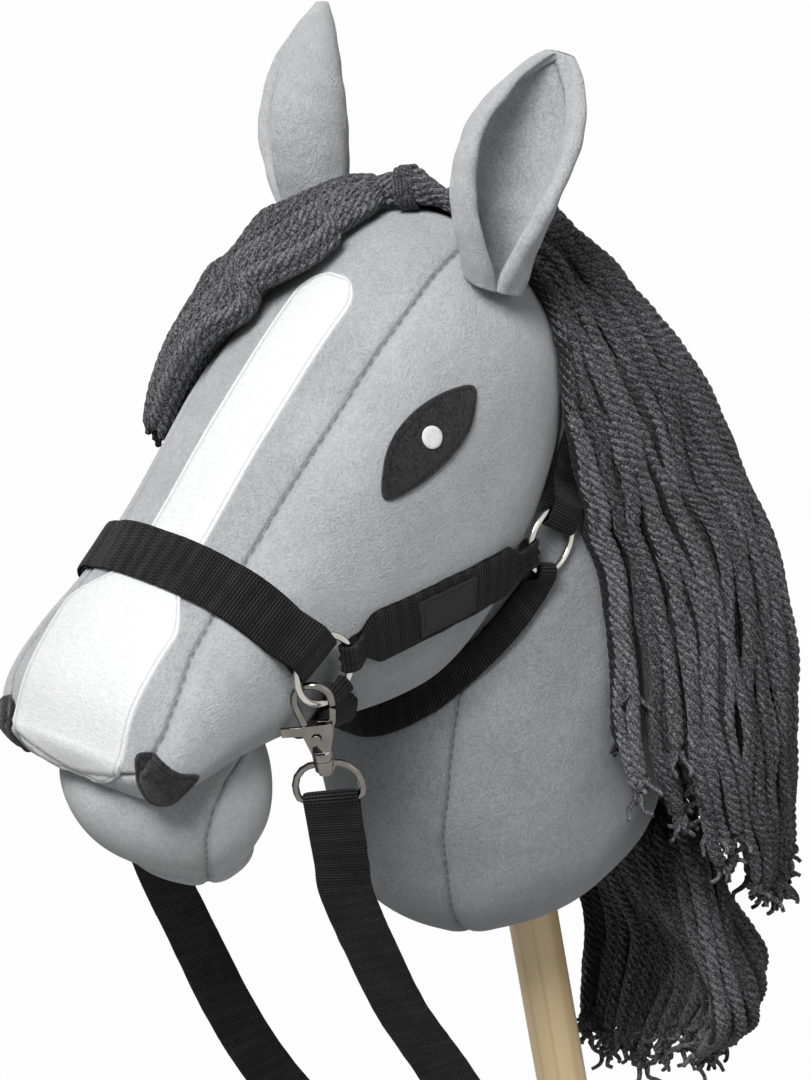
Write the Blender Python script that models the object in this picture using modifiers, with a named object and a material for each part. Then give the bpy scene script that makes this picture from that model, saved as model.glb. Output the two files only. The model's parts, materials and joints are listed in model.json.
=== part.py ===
"""Hobby horse: a stuffed plush horse head with a yarn mane, a webbing halter and reins, on a wooden stick.

Metres, +Z up. The stick stands on the Z axis with its foot at the origin, and the horse faces -Y, so its
left side is +X. Tables whose values are in millimetres are multiplied by MM when they are read.
"""

import math

import bmesh
import bpy
import numpy as np
from mathutils import Matrix, Vector
from mathutils.bvhtree import BVHTree

MM = 0.001

# Clearances
CLEAR = 0.0004  # between pieces that touch
STRAP_REST = 0.0014  # under a strap that lies on the plush

# Stick
STICK_DIAMETER = 0.025
STICK_FREE = 0.700  # from the foot to the underside of the neck
STICK_INSIDE = 0.168  # buried in the stuffing
STICK_CHAMFER = 0.0015

# Neck
NECK_WIDTH = 0.145
NECK_DEPTH = 0.176
NECK_ROUNDING = 0.055  # of the stuffed lower edge
NECK_BOTTOM = 0.019  # height of the underside above the level that the head is measured from

# Head
HEAD_WIDTH = 0.144
MUZZLE_WIDTH = 0.124
JAW_WIDTH = 0.101

# Ears
EAR_LENGTH = 0.108
EAR_HALF_GIRTH = 0.0435  # from the fold at the back to the rim, along the plush
EAR_THICKNESS = 0.0075
EAR_SPACING = 0.121  # between the middles of the two bases
EAR_SPLAY = {1: 12.0, -1: 20.0}  # degrees outwards, left and right as they are sewn on
EAR_LEAN = 24.0  # degrees backwards
EAR_SWAY = 0.010  # how far its middle bows forwards
EAR_TURN = {1: 48.0, -1: 28.0}  # degrees that the opening looks out to the side

# Felt pieces
FELT_THICKNESS = 0.0015
EYE_LIFT = 0.0006
NOSTRIL_LIFT = 0.0012
BLAZE_WIDTH = 0.035
BLAZE_MUZZLE_WIDTH = 0.074
BLAZE_SHIFT = 0.002  # of the narrow stripe, to the left
BLAZE_MUZZLE_SHIFT = -0.0025  # of the muzzle panel
HIGHLIGHT_DIAMETER = 0.010
HIGHLIGHT_THICKNESS = 0.0008

# Webbing
STRAP_WIDTH = 0.025
STRAP_THICKNESS = 0.0016
FOLD_LENGTH = 0.030  # sewn-back end beyond a ring
GATHERED_WIDTH = 0.013  # a strap end that is gathered in a ring
GATHER_LENGTH = 0.009  # from there to the full width
LABEL_LENGTH = 0.034
LABEL_HEIGHT = 0.0185
LABEL_THICKNESS = 0.0012

# Rings
RING_WIRE = 0.0034
RING_RADIUS = 0.0157  # to the middle of the wire
MOUTH_RING_LIFT = 0.00847  # of its middle plane over the highest plush under its wire
CHEEK_RING_LIFT = 0.00249

# Snap hooks, measured down from the middle of the wire at the top of the eye
HOOK_WIRE = 0.0036
HOOK_EYE_HALF = 0.0084  # from the middle to the middle of the wire
HOOK_NOSE = 0.0106  # end of the wire over the gap that the gate closes
HOOK_PLATE_TOP = 0.0186
HOOK_PLATE_END = 0.0343
HOOK_PLATE_WIDTH = 0.0148
HOOK_PLATE_END_WIDTH = 0.0084
HOOK_PLATE_THICKNESS = 0.0052
HOOK_FLANGE_DIAMETER = 0.0096
HOOK_FLANGE_END = 0.0374
HOOK_TURN = 40.0  # degrees that the flat face looks away from straight ahead
HOOK_LINK_RADIUS = 0.0102  # of the hook's top wire from the middle of the ring
GATE_THICKNESS = 0.0016
GATE_LEVER = 0.0165  # reach of the thumb lever from the middle
GATE_PIVOT = (-0.0008, 0.0260)  # sideways and down
RIVET_DIAMETER = 0.0024
RIVET_HEAD_DIAMETER = 0.0042
POST_DIAMETER = 0.0040
POST_HEAD_DIAMETER = 0.0068
POST_END = 0.0452
COLLAR_DIAMETER = 0.0094
COLLAR_TOP = 0.0378
COLLAR_END = 0.0430
LOOP_WIRE = 0.0033
LOOP_INNER_WIDTH = 0.0266
LOOP_BAR = 0.0585  # middle of the bar that carries the rein

# Mane
MANE_GAP = 0.0035  # over the plush and the crown strap
HANK_GAP = 0.0002  # over the plush
MANE_DEPTH = 0.042  # thickest part of the curtain
HANGING_GAP = 0.030  # between its inner face and the line of the plush, below the neck
FORELOCK_WIDTH = 0.074
FORELOCK_THICKNESS = 0.029
TIE_DIAMETER = 0.021
TIE_WIDTH = 0.009

NECK_BASE = STICK_FREE - NECK_BOTTOM  # world height of the level that the head is measured from

# Head sections from the back to the nose, in mm over NECK_BASE: the top point (y, z), the bottom point
# (y, z), the half width as a share of the width it belongs to, that width, and how square it is.
HEAD_SECTIONS = [
    (40, 345, 34, 264, 0.56, HEAD_WIDTH, 2.0),
    (26, 364, 20, 238, 0.81, HEAD_WIDTH, 2.1),
    (6, 379, 0, 214, 0.94, HEAD_WIDTH, 2.2),
    (-20, 380, -22, 195, 0.99, HEAD_WIDTH, 2.4),
    (-50, 368, -46, 181, 1.00, HEAD_WIDTH, 2.6),
    (-80, 353, -70, 175, 0.98, HEAD_WIDTH, 2.8),
    (-106, 337, -94, 176, 0.95, HEAD_WIDTH, 2.8),
    (-133, 319, -118, 180, 1.05, MUZZLE_WIDTH, 2.7),
    (-161, 299, -141, 186, 1.02, MUZZLE_WIDTH, 2.6),
    (-188, 281, -166, 194, 1.00, MUZZLE_WIDTH, 2.6),
    (-214, 267, -193, 200, 1.01, MUZZLE_WIDTH, 2.6),
    (-235, 250, -218, 203, 0.99, MUZZLE_WIDTH, 2.7),
    (-247, 230, -237, 204, 0.91, MUZZLE_WIDTH, 2.7),
]
HEAD_CAP_BACK = 0.010
HEAD_CAP_NOSE = 0.005

# Neck sections upwards, in mm: height, front y and back y as shares of the half depth, half width share
NECK_SECTIONS = [
    (74, -1.06, 0.93, 1.00),
    (110, -1.09, 0.98, 1.01),
    (150, -1.04, 1.06, 1.00),
    (190, -0.88, 1.12, 0.92),
    (230, -0.68, 1.14, 0.82),
    (270, -0.40, 1.07, 0.80),
    (310, -0.10, 0.93, 0.73),
    (340, 0.10, 0.76, 0.58),
]
NECK_CAP_TOP = 0.022

# Lower jaw sections downwards, in mm: height, front y, back y, half width share
JAW_SECTIONS = [
    (214, -236, -160, 0.84),
    (197, -245, -156, 0.97),
    (180, -244, -157, 1.00),
    (163, -236, -162, 0.92),
    (148, -222, -171, 0.70),
]
JAW_CAP = 0.015

# Places on the head's side or front, in mm (y, z)
MOUTH_RING_PLACE = (-156, 240)
CHEEK_RING_PLACE = (-7, 229)
EYE_PLACE = (-69, 311)
NOSTRIL_PLACE = (-242, 221)
NOSTRIL_SIDE = 54
EAR_BASE_PLACE = (-3, 369)

# Directions that the straps leave the rings in, in degrees from the back (+Y) over the top (+Z)
NOSEBAND_ANGLE = 115.5
CHIN_ANGLE = -70.0
HOOK_ANGLE = -160.0
CROWN_ANGLE = 47.0
THROAT_LOOP_ANGLE = -118.0
THROAT_ANGLE = -147.0

# The free run of the rein, in mm over NECK_BASE, from the left hook round the back of the stick to the right
REIN_ROUTE = [
    (66, -164, 123),
    (62, -152, 80),
    (59, -140, 42),
    (55, -121, -1),
    (50, -101, -48),
    (43, -80, -98),
    (36, -56, -150),
    (30, -31, -198),
    (25, -3, -242),
    (16, 24, -273),
    (0, 33, -281),
    (-16, 24, -273),
    (-28, -4, -248),
    (-35, -38, -206),
    (-42, -72, -162),
    (-47, -98, -116),
    (-52, -121, -74),
    (-57, -138, -33),
    (-61, -149, 6),
    (-65, -157, 48),
    (-68, -165, 90),
    (-69, -170, 130),
]
REIN_TURN_BIGHT = 90.0  # degrees that its width looks away from +X behind the stick

# The mane's slices. Each lies in a plane through a line across the horse: the line's y and z in mm over
# NECK_BASE, the plane's rise in degrees from straight back, its first and last edge in degrees from the left
# side, and how far it stands out over the plush at the first edge and at its middle, in mm.
MANE_SLICES = [
    (0, 330, 76, 58, 122, 10, 13),
    (0, 320, 62, 46, 128, 7, 11),
    (0, 310, 46, 34, 129, 7, 12),
    (0, 300, 29, 22, 126, 8, 16),
    (0, 285, 14, 14, 122, 9, 22),
    (0, 262, 5, 13, 118, 12, 35),
    (0, 235, 0, 14, 114, 12, 46),
    (0, 200, 0, 16, 110, 13, 54),
    (0, 166, 0, 10, 106, 14, 62),
    (0, 130, 0, 2, 102, 16, 67),
    (0, 100, 0, 0, 99, 20, 69),
    (0, 62, 0, 2, 96, 26, 66),
    (0, 38, 0, 8, 92, 32, 62),
    (0, 10, 0, 14, 88, 38, 56),
    (0, -20, 0, 24, 86, 38, 52),
]
HANK_SLICES = [
    (0, 235, 0, 120, 146, 9, 15),
    (0, 200, 0, 115, 146, 9, 17),
    (0, 166, 0, 111, 144, 9, 18),
    (0, 130, 0, 107, 141, 9, 18),
    (0, 95, 0, 102, 138, 9, 18),
    (0, 50, 0, 94, 132, 9, 19),
    (0, 10, 0, 60, 127, 12, 23),
    (0, -30, 0, 36, 122, 19, 25),
    (0, -66, 0, 31, 121, 22, 38),
    (0, -100, 0, 35, 124, 17, 38),
    (0, -130, 0, 46, 127, 8, 31),
    (0, -158, 0, 58, 127, 2, 23),
]
MANE_RISE = (130.0, 0.76, 4.0)  # height in mm below which the near end is cut higher, how much, how fast
HANK_RISE = (-60.0, 0.45, 1.0)
MANE_FLOOR = 75.0  # height in mm of the lowest slice of the plush that the yarn follows

# The forelock's middle line from the tie over the right side of the forehead, in mm over NECK_BASE
FORELOCK_ROUTE = [
    (-10, -4, 390),
    (-22, -15, 387),
    (-32, -25, 381),
    (-36, -39, 378),
    (-43, -54, 371),
    (-52, -71, 359),
    (-61, -87, 345),
    (-68, -98, 330),
    (-73, -107, 312),
    (-75, -113, 297),
]
TIE_PLACE = (0, 2, 391)

# Outline of the eye, in mm back and up from its place
EYE_OUTLINE = [
    (30, 14),
    (15, 17),
    (-2, 15),
    (-17, 8),
    (-27, -3),
    (-31, -15),
    (-16, -16),
    (4, -12),
    (20, -4),
    (28, 6),
]
HIGHLIGHT_PLACE = (0, 2)
NOSTRIL_OUTLINE = [
    (-11, 12),
    (-2, 13),
    (8, 4),
    (14, -1),
    (6, -8),
    (-3, -14),
    (-10, -12),
    (-12, 0),
]
LABEL_PLACE = 0.50  # share of the way from the mouth ring to the cheek ring

COLLECTION = "hobby_horse"
CUTTERS = "cutters"


def clear_scene():
    """Remove every object, mesh and material that the file opened with."""
    for thing in list(bpy.data.objects):
        bpy.data.objects.remove(thing, do_unlink=True)
    for mesh in list(bpy.data.meshes):
        bpy.data.meshes.remove(mesh)


def make_collection(name):
    """A fresh collection in the scene."""
    old = bpy.data.collections.get(name)
    if old:
        bpy.data.collections.remove(old)
    made = bpy.data.collections.new(name)
    bpy.context.scene.collection.children.link(made)
    return made


def material(name, colour, roughness, metallic=0.0):
    """A plain Principled material."""
    made = bpy.data.materials.new(name)
    made.use_nodes = True
    shader = made.node_tree.nodes["Principled BSDF"]
    shader.inputs["Base Color"].default_value = (*colour, 1.0)
    shader.inputs["Roughness"].default_value = roughness
    shader.inputs["Metallic"].default_value = metallic
    made.diffuse_color = (*colour, 1.0)
    return made


def add_mesh(name, points, faces, home, finish=None, smooth=True):
    """A mesh object from computed points and faces, with its faces turned outwards."""
    mesh = bpy.data.meshes.new(name)
    mesh.from_pydata([tuple(p) for p in points], [], [tuple(f) for f in faces])
    tidy = bmesh.new()
    tidy.from_mesh(mesh)
    bmesh.ops.recalc_face_normals(tidy, faces=tidy.faces)
    if tidy.calc_volume(signed=True) < 0:
        bmesh.ops.reverse_faces(tidy, faces=tidy.faces)
    tidy.to_mesh(mesh)
    tidy.free()
    made = bpy.data.objects.new(name, mesh)
    home.objects.link(made)
    if finish:
        mesh.materials.append(finish)
    if smooth:
        mesh.shade_smooth()
        mesh.set_sharp_from_angle(angle=math.radians(40))
    return made


def smooth_rows(table, count):
    """Rows of a table read again from a Catmull-Rom curve through them, evenly spaced in row number."""
    table = np.asarray(table, float)
    last = len(table) - 1
    padded = np.vstack([2 * table[0] - table[1], table, 2 * table[-1] - table[-2]])
    places = np.linspace(0, last, count)
    cell = np.minimum(places.astype(int), last - 1)
    t = (places - cell)[:, None]
    a, b, c, d = (padded[cell + k] for k in range(4))
    return 0.5 * (2 * b + (c - a) * t + (2 * a - 5 * b + 4 * c - d) * t**2 + (3 * b - a - 3 * c + d) * t**3)


def section_rings(rows, sides, grow=0.0):
    """Superellipse rings. A row is top y, z, bottom y, z, half width and squareness, in metres."""
    turn = np.linspace(0, 2 * math.pi, sides, endpoint=False)
    rings = []
    for top_y, top_z, low_y, low_z, half, square in rows:
        middle = np.array([0.0, (top_y + low_y) / 2, (top_z + low_z) / 2])
        rise = np.array([0.0, top_y - low_y, top_z - low_z])
        height = np.linalg.norm(rise) / 2
        rise = rise / (2 * height)
        c, s = np.cos(turn), np.sin(turn)
        across = np.sign(c) * np.abs(c) ** (2 / square) * (half + grow)
        up = np.sign(s) * np.abs(s) ** (2 / square) * (height + grow)
        rings.append(middle + across[:, None] * np.array([1.0, 0, 0]) + up[:, None] * rise)
    return rings


def rounded_end(ring, inner, depth, steps=3):
    """Rings that close an end like a quarter ellipse, and the pole, seen outwards from ring over inner."""
    middle = ring.mean(axis=0)
    out = middle - inner.mean(axis=0)
    out = out / np.linalg.norm(out)
    extra = []
    for k in range(1, steps):
        turn = math.radians(90 * k / steps)
        extra.append(middle + (ring - middle) * math.cos(turn) + out * depth * math.sin(turn))
    return extra, middle + out * depth


def skin_rings(name, rings, start_pole, end_pole, home, finish=None):
    """A closed skin over rings of equal count between two poles."""
    sides = len(rings[0])
    points = [start_pole] + [p for ring in rings for p in ring] + [end_pole]
    faces = []
    for side in range(sides):
        faces.append((0, 1 + (side + 1) % sides, 1 + side))
    for row in range(len(rings) - 1):
        for side in range(sides):
            a = 1 + row * sides + side
            b = 1 + row * sides + (side + 1) % sides
            faces.append((a, b, b + sides, a + sides))
    base = 1 + (len(rings) - 1) * sides
    for side in range(sides):
        faces.append((len(points) - 1, base + side, base + (side + 1) % sides))
    return add_mesh(name, points, faces, home, finish)


def head_rings(grow=0.0, rows=22, sides=32):
    """The head's rings, with its two ends."""
    table = [(a * MM, b * MM, c * MM, d * MM, s * w / 2, q) for a, b, c, d, s, w, q in HEAD_SECTIONS]
    rings = section_rings(smooth_rows(table, rows), sides, grow)
    lift = np.array([0, 0, NECK_BASE])
    rings = [ring + lift for ring in rings]
    back, back_pole = rounded_end(rings[0], rings[1], HEAD_CAP_BACK + grow)
    nose, nose_pole = rounded_end(rings[-1], rings[-2], HEAD_CAP_NOSE + grow)
    return back[::-1] + rings + nose, back_pole, nose_pole


def neck_rings(grow=0.0, rows=13, sides=32):
    """The neck's level rings, from its rounded underside to its top."""
    half = NECK_DEPTH / 2
    table = []
    for height, front, back, share in NECK_SECTIONS:
        table.append((height * MM, front * half, back * half, share * NECK_WIDTH / 2))
    table = smooth_rows(table, rows)
    turn = np.linspace(0, 2 * math.pi, sides, endpoint=False)
    rings = []
    for height, front, back, wide in table:
        ring = np.zeros((sides, 3))
        ring[:, 0] = (wide + grow) * np.cos(turn)
        ring[:, 1] = (front + back) / 2 + ((back - front) / 2 + grow) * np.sin(turn)
        ring[:, 2] = height + NECK_BASE
        rings.append(ring)
    bottom = []
    steps = 5
    first = rings[0]
    middle = first.mean(axis=0)
    for k in range(1, steps):
        swing = math.radians(90 * k / steps)
        inset = NECK_ROUNDING * (1 - math.cos(swing))
        shrunk = first - middle
        reach = np.linalg.norm(shrunk, axis=1, keepdims=True)
        ring = middle + shrunk * (reach - inset) / reach
        ring[:, 2] = first[0, 2] - (first[0, 2] - STICK_FREE + grow) * math.sin(swing)
        bottom.append(ring)
    low_pole = np.array([middle[0], middle[1], STICK_FREE - grow])
    top, top_pole = rounded_end(rings[-1], rings[-2], NECK_CAP_TOP + grow)
    return bottom[::-1] + rings + top, low_pole, top_pole


def jaw_rings(rows=8, sides=24):
    """The lower jaw's level rings, from the top down."""
    table = []
    for height, front, back, share in JAW_SECTIONS:
        table.append((height * MM, front * MM, back * MM, share * JAW_WIDTH / 2))
    turn = np.linspace(0, 2 * math.pi, sides, endpoint=False)
    rings = []
    for height, front, back, wide in smooth_rows(table, rows):
        ring = np.zeros((sides, 3))
        ring[:, 0] = wide * np.cos(turn)
        ring[:, 1] = (front + back) / 2 + (back - front) / 2 * np.sin(turn)
        ring[:, 2] = height + NECK_BASE
        rings.append(ring)
    top, top_pole = rounded_end(rings[0], rings[1], JAW_CAP / 3)
    low, low_pole = rounded_end(rings[-1], rings[-2], JAW_CAP)
    return top[::-1] + rings + low, top_pole, low_pole


def cut(target, tool, operation="DIFFERENCE"):
    """Apply one Boolean to target and hide the tool, which goes with the cutters."""
    change = target.modifiers.new("cut", "BOOLEAN")
    change.operation = operation
    change.object = tool
    change.solver = "EXACT"
    bpy.context.view_layer.update()
    graph = bpy.context.evaluated_depsgraph_get()
    mesh = bpy.data.meshes.new_from_object(target.evaluated_get(graph))
    target.modifiers.clear()
    old = target.data
    target.data = mesh
    bpy.data.meshes.remove(old)
    tidy = bmesh.new()
    tidy.from_mesh(mesh)
    bmesh.ops.remove_doubles(tidy, verts=tidy.verts, dist=0.00002)
    bmesh.ops.dissolve_degenerate(tidy, edges=tidy.edges, dist=0.00002)
    tidy.to_mesh(mesh)
    tidy.free()
    return target


def join_solids(target, tools):
    """Unite several solids into target and remove them."""
    for tool in tools:
        cut(target, tool, "UNION")
        bpy.data.objects.remove(tool, do_unlink=True)
    return target


def as_cutter(thing):
    """Mark an object as a cutter."""
    thing.hide_render = True
    thing.display_type = "WIRE"
    return thing


class Skin:
    """The plush surface under the straps: slices and ray hits on the head and neck meshes."""

    def __init__(self, things):
        self.trees = []
        self.edges = []
        for thing in things:
            mesh = thing.data
            points = np.array([v.co[:] for v in mesh.vertices])
            faces = [tuple(p.vertices) for p in mesh.polygons]
            self.trees.append(BVHTree.FromPolygons([Vector(p) for p in points], faces))
            pairs = np.array([e.vertices[:] for e in mesh.edges])
            self.edges.append((points[pairs[:, 0]], points[pairs[:, 1]]))

    def hit(self, start, direction):
        """The first point and normal that a ray meets."""
        best = None
        for tree in self.trees:
            spot, normal, _, reach = tree.ray_cast(Vector(start), Vector(direction))
            if spot is not None and (best is None or reach < best[2]):
                best = (np.array(spot), np.array(normal), reach)
        return best[0], best[1]

    def near(self, point):
        """The nearest point and normal."""
        best = None
        for tree in self.trees:
            spot, normal, _, reach = tree.find_nearest(Vector(point))
            if best is None or reach < best[2]:
                best = (np.array(spot), np.array(normal), reach)
        return best[0], best[1]

    def hull(self, origin, along, offset):
        """Convex outline of a slice. The slicing plane holds the X axis and the direction along, through
        origin (y, z), and is shifted sideways by offset. Points are (x, distance along)."""
        across = np.array([0.0, -along[1], along[0]])
        forward = np.array([0.0, along[0], along[1]])
        base = np.array([0.0, origin[0], origin[1]])
        flat = []
        for start, end in self.edges:
            da = (start - base) @ across - offset
            db = (end - base) @ across - offset
            crossing = da * db < 0
            share = da[crossing] / (da[crossing] - db[crossing])
            spots = start[crossing] + share[:, None] * (end[crossing] - start[crossing])
            flat += [(p[0], (p - base) @ forward) for p in spots]
        return convex_outline(flat)


def convex_outline(points):
    """Corners of the convex hull of 2D points, counter-clockwise."""
    ordered = sorted(set(points))
    halves = []
    for run in (ordered, ordered[::-1]):
        chain = []
        for p in run:
            while len(chain) > 1:
                ax, ay = chain[-1][0] - chain[-2][0], chain[-1][1] - chain[-2][1]
                bx, by = p[0] - chain[-2][0], p[1] - chain[-2][1]
                if ax * by - ay * bx > 0:
                    break
                chain.pop()
            chain.append(p)
        halves.append(chain[:-1])
    return np.array(halves[0] + halves[1])


def outline_reach(outline, middle, turn):
    """Distance from middle to a convex outline in the direction turn."""
    way = np.array([math.cos(turn), math.sin(turn)])
    a = outline - middle
    b = np.roll(outline, -1, axis=0) - middle
    ca = a[:, 0] * way[1] - a[:, 1] * way[0]
    cb = b[:, 0] * way[1] - b[:, 1] * way[0]
    side = (ca <= 0) != (cb <= 0)
    share = ca[side] / (ca[side] - cb[side])
    spots = a[side] + share[:, None] * (b[side] - a[side])
    return max((spots @ way).max(), 0.0)


class RingPlace:
    """Where a halter ring lies on the left of the head, with directions in its own plane. The ring is
    lifted over the highest plush under its wire."""

    def __init__(self, skin, place, lift):
        y, z = place[0] * MM, place[1] * MM + NECK_BASE
        spot, normal = skin.hit((0.3, y, z), (-1, 0, 0))
        for dy, dz in ((0.012, 0), (-0.012, 0), (0, 0.012), (0, -0.012)):
            normal = normal + skin.hit((0.3, y + dy, z + dz), (-1, 0, 0))[1]
        self.normal = normal / np.linalg.norm(normal)
        up = np.array([0, 0, 1.0]) - self.normal * self.normal[2]
        self.up = up / np.linalg.norm(up)
        self.back = np.cross(self.up, self.normal)
        if self.back[1] < 0:
            self.back = -self.back
        rim = 0.0
        for degrees in range(0, 360, 45):
            under = spot + self.way(degrees) * RING_RADIUS
            ground, _ = skin.hit((0.3, under[1], under[2]), (-1, 0, 0))
            rim = max(rim, float((ground - spot) @ self.normal))
        self.middle = spot + self.normal * (rim + lift)
        for _ in range(3):
            self.middle = self.middle + self.normal * self.shortfall(skin)

    def shortfall(self, skin):
        """How much the ring still has to rise for its wire to clear the plush."""
        short = 0.0
        for degrees in range(0, 360, 15):
            for reach in (RING_RADIUS - RING_WIRE / 2, RING_RADIUS, RING_RADIUS + RING_WIRE / 2):
                spot = self.middle + self.way(degrees) * reach
                ground, _ = skin.hit((0.3, spot[1], spot[2]), (-1, 0, 0))
                short = max(short, RING_WIRE / 2 + CLEAR - float((spot - ground) @ self.normal))
        return short

    def way(self, degrees):
        """Unit vector in the ring's plane."""
        turn = math.radians(degrees)
        return self.back * math.cos(turn) + self.up * math.sin(turn)


def strap_sections(skin, origin, along, middle, turns, lift, width=STRAP_WIDTH):
    """Cross-sections of a strap that lies on the plush: lower edge, middle, upper edge and normal."""
    forward = np.array([0.0, along[0], along[1]])
    across = np.array([0.0, -along[1], along[0]])
    base = np.array([0.0, origin[0], origin[1]])
    columns = []
    for offset in (-width / 2, 0.0, width / 2):
        outline = skin.hull(origin, along, offset)
        line = []
        for turn in turns:
            reach = outline_reach(outline, np.array([0.0, middle]), turn)
            flat = np.array([math.cos(turn), math.sin(turn)]) * reach + np.array([0.0, middle])
            line.append(base + np.array([flat[0], 0, 0]) + forward * flat[1] + across * offset)
        columns.append(np.array(line))
    low, mid, high = columns
    sections = []
    for k in range(len(turns)):
        before, after = mid[max(k - 1, 0)], mid[min(k + 1, len(turns) - 1)]
        normal = np.cross(after - before, high[k] - low[k])
        outward = mid[k] - (base + forward * middle)
        normal = normal * np.sign(normal @ outward)
        normal = normal / np.linalg.norm(normal)
        rise = lift[k] * normal
        sections.append((low[k] + rise, mid[k] + rise, high[k] + rise, normal))
    return sections


def ring_loop(ring, degrees, half_width, radius=RING_RADIUS, wire=RING_WIRE):
    """Sections of a strap end round a ring's wire, from under the ring and round the wire to over it."""
    way = ring.way(degrees)
    across = np.cross(ring.normal, way)
    bend = wire / 2 + CLEAR + STRAP_THICKNESS / 2
    chord = wire / 2 + CLEAR + math.sqrt((radius - wire / 2 - CLEAR) ** 2 - half_width**2)
    outer = radius + wire / 2 + CLEAR

    def section(reach, height, tilt):
        mid = ring.middle + way * reach + ring.normal * height
        normal = way * math.cos(tilt) + ring.normal * math.sin(tilt)
        return (mid - across * half_width, mid, mid + across * half_width, normal)

    sections = [section(outer, -bend, -math.pi / 2)]
    steps = 6
    for k in range(steps + 1):
        turn = -math.pi / 2 - math.pi * k / steps
        spot = chord + bend * math.cos(turn)
        sections.append(section(spot, bend * math.sin(turn), turn))
    sections.append(section(outer, bend, math.pi / 2))
    return sections


def mirror_sections(sections):
    """The same run on the other side, in reverse order."""
    flip = np.array([-1.0, 1, 1])
    return [tuple(p * flip for p in section) for section in sections[::-1]]


def ribbon(name, sections, thickness, home, finish, closed=False):
    """A flat solid along sections of three points and a normal each."""
    count = len(sections)
    points = []
    for low, mid, high, normal in sections:
        rise = normal * thickness / 2
        points += [low + rise, mid + rise, high + rise, high - rise, mid - rise, low - rise]
    faces = []
    last = count if closed else count - 1
    for k in range(last):
        a, b = 6 * k, 6 * ((k + 1) % count)
        for side in range(6):
            other = (side + 1) % 6
            faces.append((a + side, a + other, b + other, b + side))
    if not closed:
        for end in (0, 6 * (count - 1)):
            faces.append((end, end + 1, end + 4, end + 5))
            faces.append((end + 1, end + 2, end + 3, end + 4))
    made = add_mesh(name, points, faces, home, finish)
    tidy = bmesh.new()
    tidy.from_mesh(made.data)
    bmesh.ops.triangulate(tidy, faces=tidy.faces)
    tidy.to_mesh(made.data)
    tidy.free()
    return made


def gather(sections, shares):
    """Narrow sections towards their middles."""
    out = []
    for (low, mid, high, normal), share in zip(sections, shares):
        out.append((mid + (low - mid) * share, mid, mid + (high - mid) * share, normal))
    return out


def halter_strap(
    name, skin, ring, leave, degrees, end_width, home, finish, width=STRAP_WIDTH, raised=0.0, count=11
):
    """A strap from the left ring over or under the head to the right ring, with a sewn fold at each end.
    It leaves the ring in one direction and then lies in a plane of its own. Raised lifts it over felt."""
    turn = math.radians(degrees)
    along = (math.cos(turn), math.sin(turn))
    away = RING_RADIUS + RING_WIRE / 2 + 0.008
    shift = ring.middle + ring.way(leave) * away - np.array([0, along[0], along[1]]) * away
    origin = (shift[1], shift[2])
    side = outline_reach(skin.hull(origin, along, 0.0), np.zeros(2), 0.0)
    start = math.atan2(away, side)
    turns = np.linspace(start, math.pi / 2, count)
    layer = STRAP_THICKNESS + CLEAR
    base = STRAP_REST + STRAP_THICKNESS / 2
    run = (turns - start) * side
    folded = np.clip((FOLD_LENGTH + 0.006 - run) / 0.008, 0, 1)
    topped = np.clip((turns - math.radians(48)) / math.radians(14), 0, 1)
    lift = base + np.maximum(folded * layer, topped * raised)
    least = min(1.0, end_width / width)
    over = strap_sections(skin, origin, along, 0.0, turns, lift, width)
    over = gather(over, least + (1 - least) * np.clip(run / GATHER_LENGTH, 0, 1))
    under_run = [r for r in run if r < FOLD_LENGTH - 0.006] + [FOLD_LENGTH - 0.004]
    under_turns = [start + r / side for r in under_run]
    under = strap_sections(skin, origin, along, 0.0, under_turns, [base] * len(under_run), width)
    under = gather(under, least + (1 - least) * np.clip(np.array(under_run) / GATHER_LENGTH, 0, 1))
    turned = [(a, b, c, -n) for a, b, c, n in under[::-1]]
    loop = ring_loop(ring, leave, end_width / 2)
    if (loop[0][2] - loop[0][0]) @ (over[0][2] - over[0][0]) < 0:
        loop = [(c, b, a, n) for a, b, c, n in loop]
    half = turned + loop + over
    return ribbon(name, half + mirror_sections(half[:-1]), STRAP_THICKNESS, home, finish)


def cheek_strap(name, skin, front, back, home, finish, count=11):
    """The doubled strap between the mouth ring and the cheek ring, as one closed band with two layers."""
    gap = np.array([back.middle[1] - front.middle[1], back.middle[2] - front.middle[2]])
    length = np.linalg.norm(gap)
    along = tuple(gap / length)
    origin = (front.middle[1], front.middle[2])
    half_outline = skin.hull(origin, along, 0.0)
    middle = length / 2
    margin = RING_RADIUS + RING_WIRE / 2 + 0.008
    side = outline_reach(half_outline, np.array([0.0, middle]), 0.0)
    edge = math.atan2(middle - margin, side)
    turns = np.linspace(-edge, edge, count)
    base = STRAP_REST + STRAP_THICKNESS / 2
    layer = STRAP_THICKNESS + CLEAR
    inner = strap_sections(skin, origin, along, middle, turns, [base] * count)
    outer = strap_sections(skin, origin, along, middle, turns, [base + layer] * count)
    least = GATHERED_WIDTH / STRAP_WIDTH
    run = side * (np.tan(edge) - np.abs(np.tan(turns)))
    shares = least + (1 - least) * np.clip(run / GATHER_LENGTH, 0, 1)
    inner, outer = gather(inner, shares), gather(outer, shares)
    degrees = math.degrees(math.atan2(along[1], along[0]))
    half_width = GATHERED_WIDTH / 2
    front_loop = ring_loop(front, degrees, half_width)
    back_loop = ring_loop(back, degrees + 180, half_width)

    def level(sections):
        up = inner[0][2] - inner[0][0]
        return [s if (s[2] - s[0]) @ up > 0 else (s[2], s[1], s[0], s[3]) for s in sections]

    path = level(front_loop) + outer
    path += level([(a, b, c, n) for a, b, c, n in back_loop[::-1]])
    path += [(a, b, c, -n) for a, b, c, n in inner[::-1]]
    return ribbon(name, path, STRAP_THICKNESS, home, finish, closed=True), outer


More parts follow.
